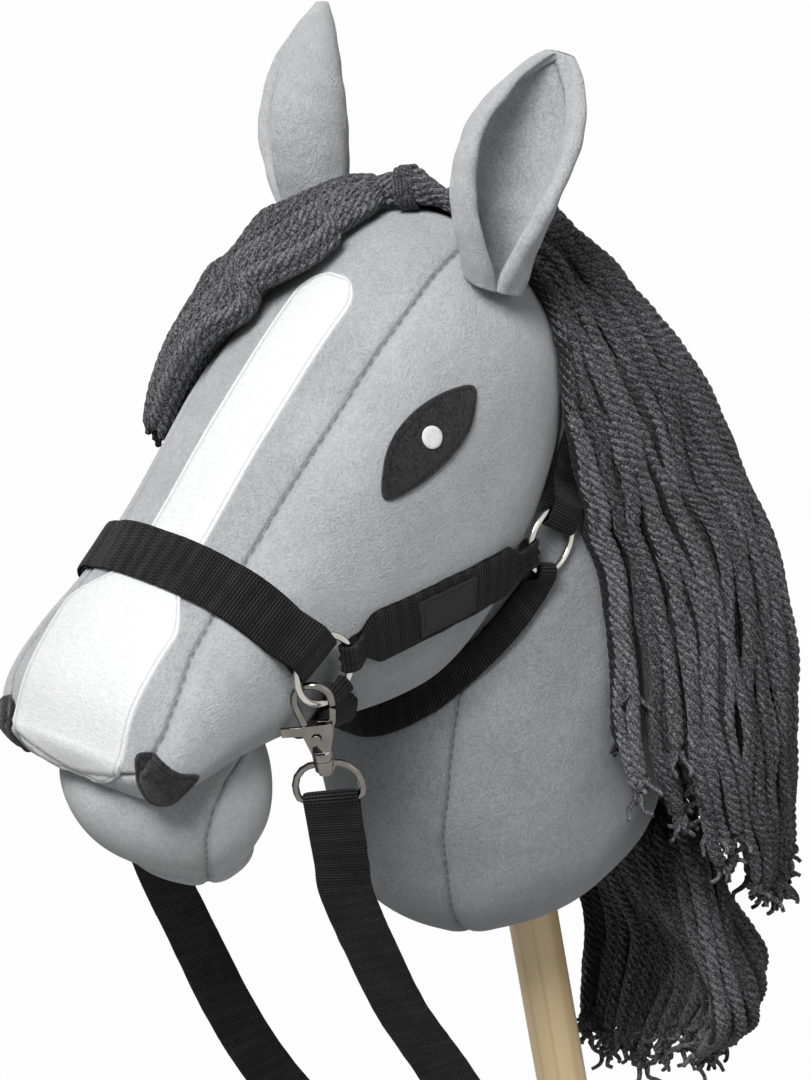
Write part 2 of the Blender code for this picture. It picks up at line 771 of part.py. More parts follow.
def closed_curve(table, count):
    """A smooth closed outline through the rows of a table, evenly read."""
    table = np.asarray(table, float)
    wide = np.vstack([table[-3:], table, table[:3]])
    size = len(table)
    return smooth_rows(wide, (len(wide) - 1) * 8 + 1)[24 : 24 + 8 * size][:: max(1, 8 * size // count)]


def felt_disc(name, skin, outline, view, rest, thickness, home, finish, side=1.0, rings=3):
    """A felt piece dropped on the plush along view: rings of points from its middle out to its outline."""
    count = len(outline)
    middle = np.mean(outline, axis=0)
    spots = [middle]
    for k in range(1, rings + 1):
        spots += [middle + (p - middle) * k / rings for p in outline]
    flip = np.array([side, 1, 1])
    inner, outer = [], []
    for spot in spots:
        ground, normal = skin.hit(spot - np.array(view) * 0.12, view)
        inner.append((ground + normal * rest) * flip)
        outer.append((ground + normal * (rest + thickness)) * flip)
    shift = len(inner)
    faces = []
    for base in (0, shift):
        for j in range(count):
            faces.append((base, base + 1 + j, base + 1 + (j + 1) % count))
        for k in range(rings - 1):
            for j in range(count):
                a = base + 1 + k * count + j
                b = base + 1 + k * count + (j + 1) % count
                faces.append((a, a + count, b + count, b))
    rim = 1 + (rings - 1) * count
    for j in range(count):
        a, b = rim + j, rim + (j + 1) % count
        faces.append((a, b, b + shift, a + shift))
    return add_mesh(name, inner + outer, faces, home, finish)


def blaze(name, skin, home, finish, rows=24):
    """The white stripe down the face: narrow on the forehead, a rounded panel on the muzzle."""
    table = np.array([(a, b) for a, b, *_ in HEAD_SECTIONS]) * MM
    path = smooth_rows(table[3:], 60)
    low = np.array(HEAD_SECTIONS[-1][:2]) * MM
    path = np.vstack([path, low + [-0.0035, -0.010], low + [-0.0015, -0.019]])
    step = np.linalg.norm(np.diff(path, axis=0), axis=1)
    run = np.concatenate([[0], np.cumsum(step)])
    start, end = 0.030, run[-1]
    bend = end - 0.046
    places = np.linspace(start, bend, rows - 12, endpoint=False)
    places = np.concatenate([places, np.linspace(bend, end, 12)])
    half_top, half_low = BLAZE_WIDTH / 2, BLAZE_MUZZLE_WIDTH / 2
    wide_from, wide_to = end - 0.108, end - 0.078
    inner, outer = [], []
    columns = (-1.0, -0.5, 0.0, 0.5, 1.0)
    for place in places:
        share = np.clip((place - wide_from) / (wide_to - wide_from), 0, 1)
        half = half_top + (half_low - half_top) * share * share * (3 - 2 * share)
        top_round = np.clip((place - start) / half_top, 0.06, 1)
        low_round = np.clip((end - place) / (0.6 * half_low), 0.06, 1)
        half *= math.sqrt(1 - (1 - top_round) ** 2) * math.sqrt(1 - (1 - low_round) ** 2) ** 0.8
        y, z = np.interp(place, run, path[:, 0]), np.interp(place, run, path[:, 1]) + NECK_BASE
        ahead = np.interp(place + 0.004, run, path[:, 0]) - np.interp(place - 0.004, run, path[:, 0])
        rise = np.interp(place + 0.004, run, path[:, 1]) - np.interp(place - 0.004, run, path[:, 1])
        if place < end - 0.006:
            way = (ahead, rise)
        view = np.array([0.0, -way[1], way[0]])
        view = view / np.linalg.norm(view)
        for column in columns:
            shift = BLAZE_SHIFT + (BLAZE_MUZZLE_SHIFT - BLAZE_SHIFT) * share
            start_at = np.array([shift + column * half, y, z]) - view * 0.06
            ground, normal = skin.hit(start_at, view)
            inner.append(ground + normal * CLEAR)
            outer.append(ground + normal * (CLEAR + FELT_THICKNESS))
    wide = len(columns)
    shift = len(inner)
    faces = []
    for row in range(rows - 1):
        for k in range(wide - 1):
            a = row * wide + k
            faces.append((a, a + 1, a + 1 + wide, a + wide))
            faces.append((a + shift, a + wide + shift, a + 1 + wide + shift, a + 1 + shift))
        for k in (0, wide - 1):
            a = row * wide + k
            faces.append((a, a + wide, a + wide + shift, a + shift))
    for row in (0, rows - 1):
        for k in range(wide - 1):
            a = row * wide + k
            faces.append((a, a + 1, a + 1 + shift, a + shift))
    return add_mesh(name, inner + outer, faces, home, finish)


def ear(name, side, cutter, home, finish):
    """A cupped ear: a leaf of plush curled about its long axis, more tightly towards the base."""
    lengths = np.linspace(0, 1, 11)
    knots = [0.0, 0.12, 0.3, 0.5, 0.7, 0.85, 0.94, 1.0]
    girth = np.interp(lengths, knots, [0.62, 0.80, 0.97, 1.0, 0.86, 0.58, 0.34, 0.13]) * EAR_HALF_GIRTH
    curl = np.radians(np.interp(lengths, knots, [162, 150, 132, 114, 100, 86, 74, 62]))
    turn = math.radians(EAR_TURN[side])
    base = np.array([EAR_SPACING / 2, EAR_BASE_PLACE[0] * MM, EAR_BASE_PLACE[1] * MM + NECK_BASE])
    up = np.array([math.tan(math.radians(EAR_SPLAY[side])), math.tan(math.radians(EAR_LEAN)), 1.0])
    up = up / np.linalg.norm(up)
    face = np.array([math.sin(turn), -math.cos(turn), 0.0])
    face = face - up * (face @ up)
    face = face / np.linalg.norm(face)
    across = np.cross(up, face)
    sway = EAR_SWAY * np.sin(lengths * math.pi)
    shares = np.linspace(-1, 1, 13)
    middle, normals = [], []
    for k, s in enumerate(lengths):
        radius = girth[k] / curl[k]
        centre = base + up * (s * EAR_LENGTH - 0.012) - across * sway[k] + face * (radius - 0.012)
        angles = shares * curl[k]
        ring = centre - face * (radius * np.cos(angles))[:, None]
        ring = ring + across * (radius * np.sin(angles))[:, None]
        middle.append(ring)
        normals.append(-face * np.cos(angles)[:, None] + across * np.sin(angles)[:, None])
    middle, normals = np.array(middle), np.array(normals)
    taper = np.interp(lengths, [0, 0.85, 1.0], [1.0, 0.95, 0.55])[:, None, None]
    half = EAR_THICKNESS / 2 * taper
    outer = middle + normals * half
    inner = middle - normals * half
    rim = middle[:, [0, -1]] + np.stack(
        [-(middle[:, 1] - middle[:, 0]), middle[:, -1] - middle[:, -2]], axis=1
    ) * 0.45
    rows = []
    for k in range(len(lengths)):
        rows.append(np.vstack([outer[k], rim[k, 1:2], inner[k][::-1], rim[k, 0:1]]))
    rows = [row * np.array([side, 1, 1]) for row in rows]
    sides = len(rows[0])
    points = [p for row in rows for p in row]
    faces = []
    for row in range(len(rows) - 1):
        for j in range(sides):
            a, b = row * sides + j, row * sides + (j + 1) % sides
            faces.append((a, b, b + sides, a + sides))
    wide = len(shares)
    for base_index in (0, (len(rows) - 1) * sides):
        for j in range(wide - 1):
            a, b = base_index + j, base_index + j + 1
            c, d = base_index + 2 * wide - 1 - j, base_index + 2 * wide - j
            faces.append((a, b, c, d))
        faces.append((base_index + wide - 1, base_index + wide, base_index + wide + 1))
        faces.append((base_index, base_index + 2 * wide, base_index + 2 * wide + 1))
    made = add_mesh(name, points, faces, home, finish)
    return cut(made, cutter)


def rod(name, place, radius, low, high, home, finish=None, sides=32):
    """An upright round solid with flat ends."""
    turn = np.linspace(0, 2 * math.pi, sides, endpoint=False)
    points = []
    for z in (low, high):
        points += [(place[0] + radius * math.cos(t), place[1] + radius * math.sin(t), z) for t in turn]
    faces = [tuple(range(sides)), tuple(range(sides, 2 * sides))]
    for k in range(sides):
        faces.append((k, (k + 1) % sides, sides + (k + 1) % sides, sides + k))
    return add_mesh(name, points, faces, home, finish)


def bevel_edges(thing, width, segments):
    """Round the sharp edges of a solid and keep the result as its mesh."""
    change = thing.modifiers.new("edges", "BEVEL")
    change.width = width
    change.segments = segments
    change.limit_method = "ANGLE"
    bpy.context.view_layer.update()
    graph = bpy.context.evaluated_depsgraph_get()
    mesh = bpy.data.meshes.new_from_object(thing.evaluated_get(graph))
    thing.modifiers.clear()
    thing.data = mesh
    return thing


def set_origin(thing, place):
    """Put an object's origin at a place without moving its surface."""
    thing.data.transform(Matrix.Translation(-Vector(place)))
    thing.location = place


def mirrored(thing, name, home):
    """The other side's piece, as its own mesh."""
    points = [(-v.co.x, v.co.y, v.co.z) for v in thing.data.vertices]
    faces = [tuple(p.vertices) for p in thing.data.polygons]
    return add_mesh(name, points, faces, home, thing.data.materials[0])


def hull_of(name, thing, grow, home):
    """The convex hull of a solid, grown a little from its middle."""
    points = np.array([v.co[:] for v in thing.data.vertices])
    middle = points.mean(axis=0)
    reach = np.linalg.norm(points - middle, axis=1, keepdims=True)
    points = middle + (points - middle) * (1 + grow / reach)
    made = bmesh.new()
    for p in points:
        made.verts.new(p)
    found = bmesh.ops.convex_hull(made, input=made.verts)
    loose = [v for v in found["geom_interior"] if isinstance(v, bmesh.types.BMVert)]
    bmesh.ops.delete(made, geom=loose, context="VERTS")
    mesh = bpy.data.meshes.new(name)
    made.to_mesh(mesh)
    made.free()
    thing = bpy.data.objects.new(name, mesh)
    home.objects.link(thing)
    return thing


def lift_place(place, spot):
    """World point on the middle plane for a place and a step from it, both in mm."""
    return np.array([0.10, (place[0] + spot[0]) * MM, (place[1] + spot[1]) * MM + NECK_BASE])


def tube(name, path, normal, radius, home, finish=None, sides=10, closed=False):
    """A round wire along a flat path whose plane has the given normal."""
    path = np.asarray(path, float)
    normal = np.asarray(normal, float)
    count = len(path)
    points = []
    for k in range(count):
        if closed:
            ahead = path[(k + 1) % count] - path[k - 1]
        else:
            ahead = path[min(k + 1, count - 1)] - path[max(k - 1, 0)]
        ahead = ahead / np.linalg.norm(ahead)
        across = np.cross(ahead, normal)
        for j in range(sides):
            turn = 2 * math.pi * j / sides
            points.append(path[k] + radius * (math.cos(turn) * across + math.sin(turn) * normal))
    faces = []
    for k in range(count if closed else count - 1):
        for j in range(sides):
            a, b = k * sides + j, k * sides + (j + 1) % sides
            c, d = ((k + 1) % count) * sides + (j + 1) % sides, ((k + 1) % count) * sides + j
            faces.append((a, b, c, d))
    if not closed:
        faces.append(tuple(range(sides)))
        faces.append(tuple(range((count - 1) * sides, count * sides)))
    return add_mesh(name, points, faces, home, finish)


def halter_ring(name, ring, home, finish, segments=22):
    """The welded wire ring."""
    turns = np.linspace(0, 360, segments, endpoint=False)
    path = [ring.middle + ring.way(t) * RING_RADIUS for t in turns]
    return tube(name, path, ring.normal, RING_WIRE / 2, home, finish, 8, True)


def flat_solid(name, outline, half_depth, home, finish=None):
    """A plate in the XZ plane: an outline (sideways, down) with a thickness along Y."""
    count = len(outline)
    points = [(u, -half_depth, -v) for u, v in outline] + [(u, half_depth, -v) for u, v in outline]
    faces = [tuple(range(count)), tuple(range(count, 2 * count))]
    for k in range(count):
        faces.append((k, (k + 1) % count, count + (k + 1) % count, count + k))
    return add_mesh(name, points, faces, home, finish, smooth=False)


def cross_pin(name, place, radius, half_length, home, finish=None, sides=16):
    """A round pin along Y at a place (sideways, down)."""
    made = rod(name, (0, 0), radius, -half_length, half_length, home, finish, sides)
    made.data.transform(Matrix.Rotation(math.pi / 2, 4, "X"))
    made.data.transform(Matrix.Translation((place[0], 0, -place[1])))
    return made


def snap_hook(word, link, home, finish):
    """One swivel snap hook: body, gate, rivet and swivel loop, hung with its eye's top wire at link."""
    wide = HOOK_EYE_HALF
    arch = [(wide * math.cos(t), -0.0074 * math.sin(t) + 0.0074) for t in np.radians(np.arange(12, 172, 16))]
    path = [(wide, HOOK_NOSE), (wide, 0.0085)] + arch
    path += [(-wide + 0.0002, 0.0085), (-wide + 0.0010, 0.0125)]
    path += [(-wide + 0.0020, 0.0165), (-wide + 0.0030, 0.0215)]
    path = [(u, 0.0, -v) for u, v in path]
    body = tube("hook_body_" + word, path, (0, 1, 0), HOOK_WIRE / 2, home, finish, 8)
    top, end, low = HOOK_PLATE_WIDTH / 2, HOOK_PLATE_END_WIDTH / 2, HOOK_PLATE_END
    shape = [(-top, HOOK_PLATE_TOP + 0.0008), (top, HOOK_PLATE_TOP + 0.0008), (top - 0.0004, 0.0235)]
    shape += [(end, low), (-end, low), (-top + 0.0004, 0.0235)]
    plate = flat_solid("plate", shape, HOOK_PLATE_THICKNESS / 2, home)
    flange = rod("flange", (0, 0), HOOK_FLANGE_DIAMETER / 2, -HOOK_FLANGE_END, -low + 0.0008, home, None, 24)
    post_low, post_top = -POST_END + 0.0008, -HOOK_FLANGE_END + 0.0008
    post = rod("post", (0, 0), POST_DIAMETER / 2, post_low, post_top, home, None, 20)
    button_top = -COLLAR_END - CLEAR
    button = rod("button", (0, 0), POST_HEAD_DIAMETER / 2, -POST_END, button_top, home, None, 24)
    join_solids(body, [plate, flange, post, button])
    slit = GATE_THICKNESS / 2 + CLEAR
    level = [(-0.02, 0.0202), (0.02, 0.0202), (0.02, 0.0302), (-0.02, 0.0302)]
    upper = [(0.0004, 0.0150), (0.02, 0.0150), (0.02, 0.0250), (0.0004, 0.0250)]
    slots = [flat_solid("slot", level, slit, home), flat_solid("slot_up", upper, slit, home)]
    slots.append(cross_pin("rivet_bore", GATE_PIVOT, RIVET_DIAMETER / 2 + CLEAR, 0.01, home))
    for tool in slots:
        cut(body, tool)
        bpy.data.objects.remove(tool, do_unlink=True)

    arm = [(0.0097, 0.0134), (0.0071, 0.0115), (0.0064, 0.0172), (0.0041, 0.0202), (0.0010, 0.0222)]
    arm += [(-0.0028, 0.0208), (-GATE_LEVER, 0.0206), (-GATE_LEVER, 0.0250), (-0.0040, 0.0254)]
    arm += [(-0.0037, 0.0274), (-0.0008, 0.0292), (0.0024, 0.0274), (0.0062, 0.0236), (0.0086, 0.0196)]
    gate = flat_solid("hook_gate_" + word, arm, GATE_THICKNESS / 2, home, finish)
    hole = cross_pin("gate_bore", GATE_PIVOT, RIVET_DIAMETER / 2 + CLEAR, 0.01, home)
    cut(gate, hole)
    bpy.data.objects.remove(hole, do_unlink=True)

    reach = HOOK_PLATE_THICKNESS / 2 + CLEAR
    rivet = cross_pin("hook_rivet_" + word, GATE_PIVOT, RIVET_DIAMETER / 2, reach + 0.0003, home, finish)
    heads = []
    for way in (-1, 1):
        cap = cross_pin("rivet_head", GATE_PIVOT, RIVET_HEAD_DIAMETER / 2, 0.0003, home)
        cap.data.transform(Matrix.Translation((0, way * (reach + 0.0003), 0)))
        heads.append(cap)
    join_solids(rivet, heads)

    half = LOOP_INNER_WIDTH / 2 + LOOP_WIRE / 2
    bar = LOOP_BAR
    side_path = [(0.0034, 0.0404), (0.0070, 0.0408), (0.0105, 0.0426), (0.0134, 0.0460), (half, 0.0505)]
    side_path += [(half, 0.0545), (half - 0.0006, 0.0572), (half - 0.0026, bar)]
    loop_path = side_path + [(0.004, bar), (-0.004, bar)] + [(-u, v) for u, v in side_path[::-1]]
    loop_path = [(u, 0.0, -v) for u, v in loop_path]
    loop = tube("swivel_loop_" + word, loop_path, (0, 1, 0), LOOP_WIRE / 2, home, finish, 8)
    collar = rod("collar", (0, 0), COLLAR_DIAMETER / 2, -COLLAR_END, -COLLAR_TOP, home, None, 24)
    join_solids(loop, [collar])
    hole = rod("collar_bore", (0, 0), POST_DIAMETER / 2 + CLEAR, -0.06, -0.03, home, None, 20)
    cut(loop, hole)
    bpy.data.objects.remove(hole, do_unlink=True)

    turn = Matrix.Translation(Vector(link)) @ Matrix.Rotation(math.radians(HOOK_TURN), 4, "Z")
    for thing in (body, gate, rivet, loop):
        thing.data.transform(turn)
    pivot = turn @ Vector((GATE_PIVOT[0], 0, -GATE_PIVOT[1]))
    set_origin(body, turn @ Vector((0, 0, -COLLAR_TOP)))
    set_origin(gate, pivot)
    set_origin(rivet, pivot)
    set_origin(loop, turn @ Vector((0, 0, -COLLAR_TOP)))


def rein(name, link, home, finish):
    """The rein: a webbing strap between the two swivel loops, sewn back round each bar."""
    face = np.array([math.sin(math.radians(HOOK_TURN)), -math.cos(math.radians(HOOK_TURN)), 0.0])
    flip = np.array([-1.0, 1, 1])
    drop = np.array([0, 0, LOOP_BAR])
    bars = [link - drop, link * flip - drop]
    bend = LOOP_WIRE / 2 + CLEAR + STRAP_THICKNESS / 2
    route = [np.array(p) * MM + np.array([0, 0, NECK_BASE]) for p in REIN_ROUTE]
    start = bars[0] + face * bend
    end = bars[1] + face * bend
    knots = [start, start + (route[0] - start) * 0.33, start + (route[0] - start) * 0.66] + route
    knots += [end + (route[-1] - end) * 0.66, end + (route[-1] - end) * 0.33, end]
    path = smooth_rows(knots, 50)
    step = np.linalg.norm(np.diff(path, axis=0), axis=1)
    run = np.concatenate([[0], np.cumsum(step)])
    share = run / run[-1]
    bight = np.interp(share, [0, 0.12, 0.42, 0.58, 0.88, 1], [0, 0, 1, 1, 0, 0])
    sections = []
    for k in range(len(path)):
        ahead = path[min(k + 1, len(path) - 1)] - path[max(k - 1, 0)]
        ahead = ahead / np.linalg.norm(ahead)
        turn = math.radians(HOOK_TURN + (REIN_TURN_BIGHT - HOOK_TURN) * bight[k])
        wide = np.array([math.cos(turn), math.sin(turn), 0.0])
        wide = wide - ahead * (wide @ ahead)
        wide = wide / np.linalg.norm(wide) * STRAP_WIDTH / 2
        normal = np.cross(wide, ahead)
        normal = normal / np.linalg.norm(normal)
        sections.append((path[k] - wide, path[k], path[k] + wide, normal))
    wide = np.array([face[1], -face[0], 0.0]) * -STRAP_WIDTH / 2

    def wrap(bar):
        turned = []
        for t in np.linspace(0, math.pi, 7)[1:]:
            way = face * math.cos(t) + np.array([0, 0, math.sin(t)])
            middle = bar + way * bend
            turned.append((middle - wide, middle, middle + wide, way))
        return turned

    def fold(line, distances):
        back = []
        layer = STRAP_THICKNESS + CLEAR
        for reach in distances:
            spot = int(np.searchsorted(distances_along, reach))
            low, mid, high, normal = line[min(spot, len(line) - 1)]
            out = normal if normal @ face > 0 else -normal
            gap = -out * (layer + (2 * bend - layer) * max(0.0, 1 - reach / 0.012))
            back.append((low + gap, mid + gap, high + gap, -out))
        return back

    distances_along = run
    near = fold(sections, [0.005, 0.010, 0.014, 0.019, 0.024, 0.029])
    distances_along = run[-1] - run[::-1]
    far = fold(sections[::-1], [0.005, 0.010, 0.014, 0.019, 0.024, 0.029])
    if sections[0][3] @ face < 0:
        sections = [(a, b, c, -n) for a, b, c, n in sections]
    line = near[::-1] + wrap(bars[0])[::-1] + sections + wrap(bars[1]) + far
    first = line[0]
    sorted_line = [first]
    for a, b, c, n in line[1:]:
        before = sorted_line[-1]
        if (c - a) @ (before[2] - before[0]) < 0:
            a, c = c, a
        if n @ before[3] < 0:
            n = -n
        sorted_line.append((a, b, c, n))
    made = ribbon(name, sorted_line, STRAP_THICKNESS, home, finish)
    set_origin(made, (0.0, link[1], link[2]))
    return made


def label(name, strap_top, home, finish):
    """The bare patch on the left cheek strap."""
    middles = np.array([s[1] for s in strap_top])
    step = np.linalg.norm(np.diff(middles, axis=0), axis=1)
    run = np.concatenate([[0], np.cumsum(step)])
    centre = run[-1] * LABEL_PLACE
    sections = []
    share = LABEL_HEIGHT / STRAP_WIDTH
    rise = (STRAP_THICKNESS + LABEL_THICKNESS) / 2 + CLEAR
    for place in np.linspace(centre - LABEL_LENGTH / 2, centre + LABEL_LENGTH / 2, 7):
        parts_at = []
        for column in range(4):
            values = np.array([s[column] for s in strap_top])
            parts_at.append(np.array([np.interp(place, run, values[:, k]) for k in range(3)]))
        low, mid, high, normal = parts_at
        normal = normal / np.linalg.norm(normal)
        low, high = mid + (low - mid) * share, mid + (high - mid) * share
        sections.append((low + normal * rise, mid + normal * rise, high + normal * rise, normal))
    return ribbon(name, sections, LABEL_THICKNESS, home, finish)


def loft_bands(name, inner, outer, home, finish):
    """A curtain with an inner and an outer face, given as rows of points."""
    inner, outer = np.array(inner), np.array(outer)
    rows, wide = inner.shape[:2]
    sides = 2 * wide
    points = np.concatenate([outer, inner[:, ::-1]], axis=1).reshape(-1, 3)
    faces = []
    for row in range(rows - 1):
        for j in range(sides):
            a, b = row * sides + j, row * sides + (j + 1) % sides
            faces.append((a, b, b + sides, a + sides))
    for base in (0, (rows - 1) * sides):
        for j in range(wide - 1):
            faces.append((base + j, base + j + 1, base + sides - 2 - j, base + sides - 1 - j))
    return add_mesh(name, points, faces, home, finish)


def yarn_curtain(name, skin, slices, gap, hanging, cut_rise, home, finish, rows=22, columns=11):
    """Yarn that lies over the plush and hangs on below it. See MANE_SLICES for the rows."""
    inner, outer = [], []
    for oy, oz, rise, first, last, edge, middle in smooth_rows(slices, rows):
        turn = math.radians(rise)
        along = (math.cos(turn), math.sin(turn))
        level = max(oz, MANE_FLOOR) if rise < 1 else oz
        outline = skin.hull((oy * MM, level * MM + NECK_BASE), along, 0.0)
        base = np.array([0, oy * MM, oz * MM + NECK_BASE])
        forward = np.array([0.0, along[0], along[1]])
        low_row, high_row = [], []
        for j in range(columns):
            share = j / (columns - 1)
            swing = math.radians(first + (last - first) * share)
            reach = outline_reach(outline, np.zeros(2), swing)
            bump = math.sin(math.pi * share) ** 0.7
            stand = (edge + (middle - edge) * bump) * MM + 0.0016 * math.cos(j * math.pi)
            deep = max(0.25, math.sin(math.pi * share) ** 0.5) * MANE_DEPTH
            low = max(gap, stand - deep)
            way = np.array([math.cos(swing), 0, 0]) + forward * math.sin(swing)
            slant = max(0.0, cut_rise[0] - oz) * cut_rise[1] * (1 - share) ** cut_rise[2]
            slant = np.array([0, 0, slant * MM])
            if oz < NECK_BOTTOM / MM - 4:
                low = max(stand - deep, hanging)
            low_row.append(base + slant + way * (reach + low))
            high_row.append(base + slant + way * (reach + max(stand, low + 0.004)))
        inner.append(low_row)
        outer.append(high_row)
    return loft_bands(name, inner, outer, home, finish)


def forelock(name, skin, cutter, home, finish, rows=18, sides=14):
    """The tied forelock, a thick bundle swept over the forehead and cut back to the plush."""
    path = smooth_rows(np.array(FORELOCK_ROUTE) * MM, rows) + np.array([0, 0, NECK_BASE])
    loops = []
    for k in range(rows):
        ahead = path[min(k + 1, rows - 1)] - path[max(k - 1, 0)]
        ahead = ahead / np.linalg.norm(ahead)
        _, normal = skin.near(path[k])
        normal = normal - ahead * (normal @ ahead)
        normal = normal / np.linalg.norm(normal)
        across = np.cross(ahead, normal)
        share = k / (rows - 1)
        swell = np.interp(share, [0, 0.12, 0.35, 0.6, 0.8, 1.0], [0.30, 0.66, 0.96, 0.82, 0.50, 0.24])
        turn = np.linspace(0, 2 * math.pi, sides, endpoint=False)
        ring = path[k] + (across[None] * np.cos(turn)[:, None]) * FORELOCK_WIDTH / 2 * swell
        ring = ring + (normal[None] * np.sin(turn)[:, None]) * FORELOCK_THICKNESS / 2 * (0.3 + 0.7 * swell)
        loops.append(ring)
    start, start_pole = rounded_end(loops[0], loops[1], 0.003)
    end, end_pole = rounded_end(loops[-1], loops[-2], 0.008)
    made = skin_rings(name, start[::-1] + loops + end, start_pole, end_pole, home, finish)
    return cut(made, cutter)


def poll_tie(name, home, finish, sides=20):
    """The yarn wound round the bundle between the ears."""
    middle = np.array(TIE_PLACE) * MM + np.array([0, 0, NECK_BASE])
    made = rod(name, (0, 0), TIE_DIAMETER / 2, -TIE_WIDTH / 2, TIE_WIDTH / 2, home, finish, sides)
    bevel_edges(made, 0.0035, 2)
    made.data.transform(Matrix.Rotation(math.pi / 2, 4, "Y"))
    made.data.transform(Matrix.Rotation(math.radians(35), 4, "Z"))
    made.data.transform(Matrix.Translation(Vector(middle)))
    return made


clear_scene()
parts = make_collection(COLLECTION)
cutters = make_collection(CUTTERS)
cutters.hide_render = True

plush = material("grey_plush", (0.42, 0.43, 0.44), 0.95)
white_felt = material("white_felt", (0.86, 0.86, 0.86), 0.95)
black_felt = material("black_felt", (0.012, 0.012, 0.014), 0.95)
webbing = material("black_webbing", (0.010, 0.010, 0.011), 0.75)
leather = material("label_leather", (0.018, 0.018, 0.019), 0.55)
steel = material("nickel_plate", (0.62, 0.60, 0.57), 0.18, 1.0)
yarn = material("grey_yarn", (0.045, 0.045, 0.050), 0.95)
pine = material("pine", (0.72, 0.50, 0.26), 0.6)

# The head and the tools that keep other pieces off it
rings, start, end = head_rings()
head = skin_rings("head", rings, start, end, parts, plush)
rings, start, end = head_rings(grow=CLEAR + 0.0002)
head_cutter = as_cutter(skin_rings("head_cutter", rings, start, end, cutters))
rings, start, end = head_rings(grow=FELT_THICKNESS + 2 * CLEAR + 0.0004)
felt_cutter = as_cutter(skin_rings("felt_cutter", rings, start, end, cutters))

rings, start, end = neck_rings()
neck = skin_rings("neck", rings, start, end, parts, plush)
cut(neck, head_cutter)
bore_top = STICK_FREE + STICK_INSIDE + CLEAR
bore = rod("stick_bore", (0, 0), STICK_DIAMETER / 2 + CLEAR, -0.01, bore_top, cutters)
cut(neck, as_cutter(bore))

rings, start, end = neck_rings(grow=CLEAR + 0.0002)
neck_cutter = as_cutter(skin_rings("neck_cutter", rings, start, end, cutters))

rings, start, end = jaw_rings()
lower_jaw = cut(skin_rings("lower_jaw", rings, start, end, parts, plush), head_cutter)

ear("ear_left", 1, head_cutter, parts, plush)
ear_right = ear("ear_right", -1, head_cutter, parts, plush)
ear_cutter = as_cutter(hull_of("ear_cutter", ear_right, 0.001, cutters))

stick = rod("stick", (0, 0), STICK_DIAMETER / 2, 0.0, STICK_FREE + STICK_INSIDE, parts, pine, 24)
bevel_edges(stick, STICK_CHAMFER, 1)

on_head = Skin([head])
on_plush = Skin([head, neck])

# Felt pieces
cut(blaze("blaze", on_head, parts, white_felt), head_cutter)
inwards = (-1, 0, 0)
for side, word in ((1, "left"), (-1, "right")):
    eye = [lift_place(EYE_PLACE, spot) for spot in closed_curve(EYE_OUTLINE, 20)]
    rest = CLEAR + EYE_LIFT
    felt_disc("eye_" + word, on_head, eye, inwards, rest, FELT_THICKNESS, parts, black_felt, side, 2)
    turns = np.linspace(0, 2 * math.pi, 14, endpoint=False)
    half = HIGHLIGHT_DIAMETER / 2 / MM
    dot = [half * np.array([math.cos(t), math.sin(t)]) + HIGHLIGHT_PLACE for t in turns]
    dot = [lift_place(EYE_PLACE, spot) for spot in dot]
    over = 2 * CLEAR + EYE_LIFT + FELT_THICKNESS
    thick = HIGHLIGHT_THICKNESS
    felt_disc("eye_highlight_" + word, on_head, dot, inwards, over, thick, parts, white_felt, side, 1)
    view = np.array([-0.62, 0.785, 0.0])
    aside = np.array([0.785, 0.62, 0.0])
    middle = np.array([NOSTRIL_SIDE, NOSTRIL_PLACE[0], NOSTRIL_PLACE[1]]) * MM + np.array([0, 0, NECK_BASE])
    spots = [middle + (aside * a + np.array([0, 0, b])) * MM for a, b in closed_curve(NOSTRIL_OUTLINE, 16)]
    rest = CLEAR + NOSTRIL_LIFT
    name = "nostril_" + word
    cut(felt_disc(name, on_head, spots, view, rest, FELT_THICKNESS, parts, black_felt, side, 2), head_cutter)

# Halter
mouth = RingPlace(on_head, MOUTH_RING_PLACE, MOUTH_RING_LIFT)
cheek = RingPlace(on_plush, CHEEK_RING_PLACE, CHEEK_RING_LIFT)
full, narrow = STRAP_WIDTH - 0.0008, GATHERED_WIDTH
over_felt = FELT_THICKNESS + 2 * CLEAR
straps = (parts, webbing)
angles = (NOSEBAND_ANGLE, NOSEBAND_ANGLE)
halter_strap("noseband", on_head, mouth, *angles, full, *straps, STRAP_WIDTH, over_felt)
halter_strap("chin_strap", on_head, mouth, CHIN_ANGLE, CHIN_ANGLE, narrow, *straps)
crown = halter_strap("crown_strap", on_plush, cheek, CROWN_ANGLE, CROWN_ANGLE, full, *straps, count=15)
throat = halter_strap(
    "throat_strap", on_plush, cheek, THROAT_LOOP_ANGLE, THROAT_ANGLE, narrow, *straps, GATHERED_WIDTH,
    0.0, 13
)
cut(throat, head_cutter)
cut(throat, neck_cutter)
cheek_left, strap_top = cheek_strap("cheek_strap_left", on_plush, mouth, cheek, parts, webbing)
cut(cheek_left, head_cutter)
mirrored(cheek_left, "cheek_strap_right", parts)
label("label_patch", strap_top, parts, leather)
for ring, word in ((mouth, "mouth_ring"), (cheek, "cheek_ring")):
    left = halter_ring(word + "_left", ring, parts, steel)
    right = mirrored(left, word + "_right", parts)
    set_origin(left, ring.middle)
    set_origin(right, ring.middle * np.array([-1, 1, 1]))

# Hooks and rein
link = mouth.middle + mouth.way(HOOK_ANGLE) * HOOK_LINK_RADIUS
for side, word in ((1, "left"), (-1, "right")):
    snap_hook(word, link * np.array([side, 1, 1]), parts, steel)
rein("rein", link, parts, webbing)

